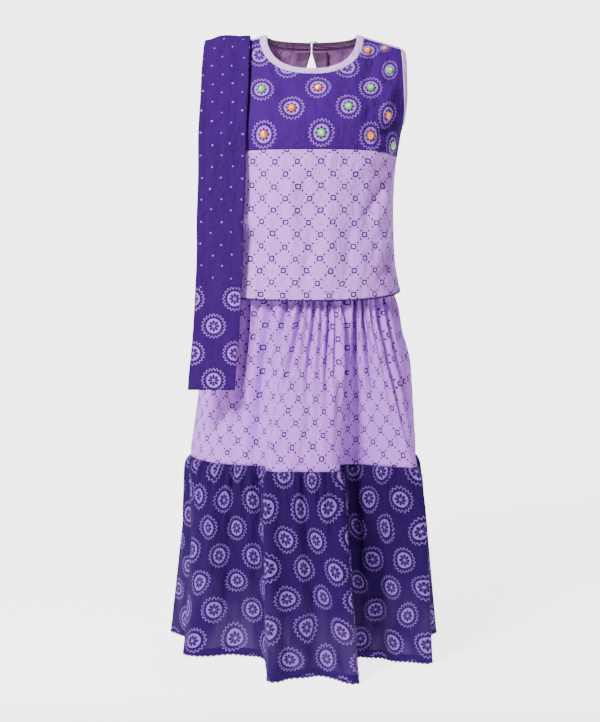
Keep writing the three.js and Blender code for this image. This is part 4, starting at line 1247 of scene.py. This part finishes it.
def stone(name, x, z, radius, height):
    """A faceted round stone on the yoke, and the spokes of thread that hold it."""
    point = with_creases("front", on_figure("front", x, z))
    normal = figure_normal("front", x, z)
    first = unit(np.cross(np.array([0.0, 0, 1.0]), normal))
    second = np.cross(normal, first)
    points, faces, previous = [point + normal * (SEAT + height)], [], [0]
    for share, rise, count in STONE_RINGS:
        ring = list(range(len(points), len(points) + count))
        for a in around(count) + (math.pi / count if count == 8 else 0):
            points.append(point + normal * (SEAT + height * rise)
                          + (first * math.cos(a) + second * math.sin(a)) * radius * share)
        ahead = ring[1:] + ring[:1]
        if len(previous) == 1:
            faces += [(0, a, b) for a, b in zip(ring, ahead)]
        elif len(previous) == count:
            faces += [(a, b, c, d) for a, b, c, d in zip(previous, ring, ahead,
                                                         previous[1:] + previous[:1])]
        else:
            for k, (a, b) in enumerate(zip(previous, previous[1:] + previous[:1])):
                c, d, e = (ring[(2 * k + step) % count] for step in (0, 1, 2))
                faces += [(a, c, d), (a, d, b), (b, d, e)]
        previous = ring
    faces.append(tuple(reversed(previous)))
    lines = []
    for turn in around(SPOKES):
        away = first * math.cos(turn) + second * math.sin(turn)
        start = point + normal * (SEAT + 0.3) + away * (radius - 1.6)
        lines.append((np.array([start, start + away * 2.3 - normal * 0.4]),
                      np.array([normal, normal])))
    return (make_object(name, points, faces, smooth_faces=False),
            stitches(name + "_stitches", lines, 2.3, 2.3, 0.42))


BUTTON = {"radius": 4.2, "height": 2.2, "from_slit": 5.5, "corners": 32}
# The button's section from its middle out over the rim and in: shares of radius and height.
BUTTON_PROFILE = [(0, 0.0), (0.8, 0.0), (0.95, 0.15), (1, 0.4), (0.97, 0.75), (0.85, 1.0),
                  (0.68, 0.94), (0.5, 0.72), (0.2, 0.66), (0, 0.66)]
LOOP = {"radius": 5.4, "cord": 0.7, "stretch": 1.45, "stations": 60, "sides": 8}


def closure_spot(x):
    """A place on the neck binding beside the slit, and the directions out, up and right."""
    point, normal = neck_edge(math.pi)
    up = np.array([0, -normal[2], normal[1]])
    place = point + up * (SEAM + NECK_BINDING_WIDTH / 2) + normal * (0.35 + SEAT)
    return place + np.array([x, 0, 0]), normal, up, np.cross(up, normal)


def button():
    place, normal, up, right = closure_spot(BUTTON["from_slit"])
    points = []
    for share, rise in BUTTON_PROFILE:
        radius = BUTTON["radius"] * max(share, 0.001)
        points += [place + normal * BUTTON["height"] * rise
                   + (right * math.cos(a) + up * math.sin(a)) * radius
                   for a in around(BUTTON["corners"])]
    count, last = BUTTON["corners"], len(points) - BUTTON["corners"]
    faces = quads(len(BUTTON_PROFILE), count).tolist()
    faces += [list(range(count))[::-1], list(range(last, len(points)))]
    return make_object("button", points, faces)


def loop_cord():
    """A round cord in a ring, stretched over the button."""
    long_radius = LOOP["radius"] * LOOP["stretch"]
    place, normal, up, right = closure_spot(BUTTON["from_slit"] - long_radius + LOOP["radius"])
    turn = around(LOOP["stations"])[:, None]
    ring = (place + normal * LOOP["cord"] + right * np.cos(turn) * long_radius
            + up * np.sin(turn) * LOOP["radius"])
    tangent = unit(np.roll(ring, -1, 0) - np.roll(ring, 1, 0))
    helper = np.where(np.abs(tangent[:, 2:]) < 0.9, [[0, 0, 1.0]], [[1.0, 0, 0]])
    first = unit(np.cross(tangent, helper))[:, None]
    second = np.cross(tangent[:, None], first)
    turn = around(LOOP["sides"])[None, :, None]
    points = ring[:, None] + (first * np.cos(turn) + second * np.sin(turn)) * LOOP["cord"]
    points = points.reshape(-1, 3)
    faces = quads(LOOP["stations"] + 1, LOOP["sides"]) % len(points)
    return make_object("loop", points, faces.tolist())


# ---- the set

YOKE_LINING_TOP = -25    # above it the yoke's outer face turns back over the shoulder
SHOULDER_EDGE = 3.8      # the pale allowance that shows along the shoulder seam
HEM_SEWING = 11          # a line of sewing's height over the hem, and over the yoke seam
YOKE_SEWING = 1.8
FLOUNCE_SEWING = 1.3     # a line of sewing's place, in rows of the grid
BINDING_SEWING = 1.4
WALLS = {"band": 2.0, "binding": 1.5, "facing": 0.8}

lilac = lilac_material("lilac print")
# The same lilac print with a darker ground: painted shade on the upper tier.
shaded_tier_lilac = lilac_material("lilac tier print painted shade", SHADED_TIER_LILAC)
shaded_reverse = lilac_material("lilac reverse painted shade", LILAC_REVERSE_SHADED, 0.35)
yoke_purple = purple_material("purple yoke")
# The flounce's darker ground and ink are painted shade, and its paler patches near the hem are
# painted light.
flounce_purple = purple_material("purple flounce painted shade", (60.0, 78.0), (30.0, 24.0), (1.22, 1.10),
                                 painted_backlight=True, cloth=SHADED_FLOUNCE_PURPLE, ink=SHADED_FLOUNCE_LAVENDER,
                                 wander=22.0)
dupatta_purple = purple_material("purple dupatta", (56.0, 72.0), (34.0, 13.0),
                                 dots=(136.0, 930.0), cloth=DUPATTA_PURPLE)
pale = plain_material("binding", BINDING_PALE)
# The dark facing colour is painted shade.
shaded_backing = plain_material("facing", FACING_SHADE)
threads = {name: plain_material(name + " thread", tone, 0.6) for name, tone in THREADS.items()}
edging_thread_and_shadow = plain_material("edging thread and painted shadow", EDGING_AND_SHADOW, 0.6)


def sew(name, line, thread, slot):
    return finish_piece(stitches(name, [line]), threads[thread], slot)


yoke, body, back = make_choli()
finish_piece(yoke, yoke_purple, "purple_print", "choli_yoke_front")
finish_piece(body, lilac, "lilac_print", "choli_body_front")
finish_piece(back, lilac, "lilac_print", "choli_back")
# The back's inner faces and rims take the reverse, whose darker ground is partly painted shade.
back.data.materials.append(shaded_reverse)
for face in back.data.polygons:
    face.material_index = int(face.normal.y < 0 or abs(face.normal.z) > 0.99)
# The yoke's inside takes the reverse, whose darker ground is partly painted shade.
yoke.data.materials.append(shaded_reverse)
yoke.data.materials.append(pale)
for face in yoke.data.polygons:
    x, _, z = face.center / MM
    if face.normal.y > 0.05 and z < YOKE_LINING_TOP:
        face.material_index = 1
    elif z > shoulder_line(x - column("axis", z)) - SHOULDER_EDGE:
        face.material_index = 2

upper_grid, flounce_grid, band_grid = upper_tier(), flounce(), waistband()
upper = cloth_object("upper_tier", upper_grid, ring_uv(upper_grid, UPPER_FLAT), SHELL, True)
finish_piece(upper, shaded_tier_lilac, "lilac_print", "ghagra_upper_tier")
lower = cloth_object("flounce", flounce_grid, ring_uv(flounce_grid, FLOUNCE_FLAT), SHELL, True)
finish_piece(lower, flounce_purple, "purple_print", "ghagra_lower_tier")
band = cloth_object("waistband", band_grid, ring_uv(band_grid, BAND_FLAT), WALLS["band"], True)
finish_piece(band, lilac, "lilac_print", "ghagra_waistband")
strip = finish_piece(dupatta(), dupatta_purple, "purple_dupatta",
                     "dupatta_front_fall", "dupatta_shoulder", "dupatta_back_fall")

neck_grid, neck_uv = neck_binding()
neck = cloth_object("neck_binding", neck_grid, neck_uv, WALLS["binding"], False)
finish_piece(neck, pale, "pale_binding", "neck_binding")
neck.data.materials.append(shaded_backing)
# The neck binding's inner faces and rims take the dark facing colour: painted shade.
for face in list(neck.data.polygons)[(len(neck_grid) - 1) * (len(neck_grid[0]) - 1):]:
    face.material_index = 1       # all but the outer faces
armholes, facings, sewn = {}, {}, {}
for side, sign in (("left", 1), ("right", -1)):
    grid, uv = armhole_binding(sign)
    armholes[side] = cloth_object("armhole_binding_" + side, grid, uv, WALLS["binding"], True)
    finish_piece(armholes[side], pale, "pale_binding", "armhole_binding_" + side)
    sewn[side] = sew(side + "_armhole_stitches", ring_seam(grid, True, BINDING_SEWING),
                     "pale", "pale_binding")
    # The facings take the dark facing colour: painted shade.
    facings[side] = cloth_object("facing_" + side, *facing(sign), WALLS["facing"], False)
    finish_piece(facings[side], shaded_backing, "pale_binding", "back_facing_" + side)

sewn["neck"] = sew("neck_stitches", ring_seam(neck_grid, False, BINDING_SEWING),
                   "pale", "pale_binding")
sewn["body"] = sew("choli_hem_stitches", choli_seam("front", lower_point, HEM_SEWING),
                   "lilac", "lilac_print")
sewn["back"] = sew("back_hem_stitches", choli_seam("back", lower_point, HEM_SEWING),
                   "lilac", "lilac_print")
sewn["yoke"] = sew("yoke_seam_stitches", choli_seam("front", upper_point, YOKE_SEWING),
                   "dark", "purple_print")
sewn["flounce"] = sew("flounce_hem_stitches", ring_seam(flounce_grid, True, FLOUNCE_SEWING),
                      "dark", "purple_print")
edgings = {"flounce": cloth_object("hem_edging", *flounce_edging(flounce_grid),
                                   EDGING_THICKNESS, True)}
for side in ("front", "back"):
    edgings[side] = cloth_object(side + "_hem_edging", *choli_edging(side),
                                 EDGING_THICKNESS, False)
# The edgings' dark thread is real edging, and at the choli's hem also painted shadow.
for edging in edgings.values():
    finish_piece(edging, edging_thread_and_shadow, "purple_print")

stone_looks = {}
for name, (tone, glint_tint) in STONE_COLOURS.items():
    sides, shader = new_material("stone " + name, tone, 0.08, 0.0, 0.6)
    shader.inputs["Coat Weight"].default_value = 0.5
    # The top facets get a paler colour: a painted glint.
    stone_looks[name] = (sides, new_material("stone painted glint " + name, glint_tint, 0.05, 0.0, 0.9)[0],
                         new_material("stitches " + name, tone, 0.6, 0.1)[0])
for number, (x, z, name) in enumerate(STONES, 1):
    gem, spokes = stone(f"stone_{number}", x, z, *STONE_SIZES.get((x, z), STONE_SIZE))
    sides, table, spoke_thread = stone_looks[name]
    finish_piece(gem, sides, "stone_" + name, f"yoke_stone_{number}")
    # The top facets take the painted glint.
    gem.data.materials.append(table)
    for face in list(gem.data.polygons)[:STONE_RINGS[0][2]]:
        face.material_index = 1
    finish_piece(spokes, spoke_thread, "stone_" + name)

finish_piece(button(), new_material("button", BUTTON_COLOUR, 0.25, 0.0)[0], "button",
             "neck_button")
finish_piece(loop_cord(), pale, "pale_binding", "neck_loop")

# ---- studio, in metres

SWEEP = {"near": -4000, "bend": 1600, "radius": 1200, "top": 4000, "half_width": 5000}
FLOOR_GAP = 2.6          # under the hem, in millimetres
AIM = (0.0, 0.0, -0.42)
LIGHTS = {               # place, size and power
    "key": ((-1.0, -1.45, 1.2), 0.6, 126),
    "fill": ((1.6, -2.2, 0.4), 1.8, 8),
    "rim": ((0.5, 2.2, 1.6), 1.6, 12),
}
AMBIENT = 0.06
BACKDROP_GLOW = (3.2, 0.05)         # behind the set, and elsewhere
CAMERA_TILT = 5.0


def floor_sweep():
    """A pale floor that curves up behind the set, and glows where the camera sees it."""
    arc = np.linspace(0.15, math.pi / 2, 10)
    bend, radius = SWEEP["bend"], SWEEP["radius"]
    depths = [SWEEP["near"], bend, *(bend + radius * np.sin(arc)), bend + radius]
    rises = [0, 0, *(radius * (1 - np.cos(arc))), SWEEP["top"]]
    points = [(side * SWEEP["half_width"], y, HEM - FLOOR_GAP + z)
              for y, z in zip(depths, rises) for side in (-1, 1)]
    faces = [(k, k + 1, k + 3, k + 2) for k in range(0, len(points) - 2, 2)]
    made = make_object("floor", points, faces)
    paper, shader = new_material("floor", (0.7, 0.7, 0.7), 0.9, 0.0, 0.5)
    shader.inputs["Emission Color"].default_value = (1, 1, 1, 1)
    graph = Graph(paper)
    x, y, z = graph.parts(graph.node("ShaderNodeTexCoord").outputs["Object"])
    share = 1.0
    for distance, slope, start in ((y, 2.0, 1.5), (graph.abs(x), -1.5, 2.6), (z, -1.5, 2.0)):
        share = graph.mul(graph.clamp(graph.mad(distance, slope, start)), share)
    strength = graph.mad(share, *BACKDROP_GLOW)
    graph.tree.links.new(strength, shader.inputs["Emission Strength"])
    made.data.materials.append(paper)


floor_sweep()
for name, (place, size, power) in LIGHTS.items():
    light = bpy.data.lights.new(name, "AREA")
    light.shape = "DISK"
    light.size = size
    light.energy = power
    lamp = place_object(name, light)
    lamp.location = place
    lamp.rotation_euler = (Vector(AIM) - Vector(place)).to_track_quat("-Z", "Y").to_euler()

world = bpy.data.worlds.new("studio")
bpy.context.scene.world = world
world.use_nodes = True
sky = world.node_tree.nodes["Background"]
sky.inputs["Color"].default_value = (1.0, 1.0, 1.0, 1)
sky.inputs["Strength"].default_value = AMBIENT

lens = bpy.data.cameras.new("camera")
lens.lens = 71.7
lens.sensor_width = 36
camera = place_object("camera", lens)
camera.location = (-0.0035, -2.0, -0.275)
camera.rotation_euler = (math.radians(90 - CAMERA_TILT), 0, 0)
bpy.context.scene.camera = camera
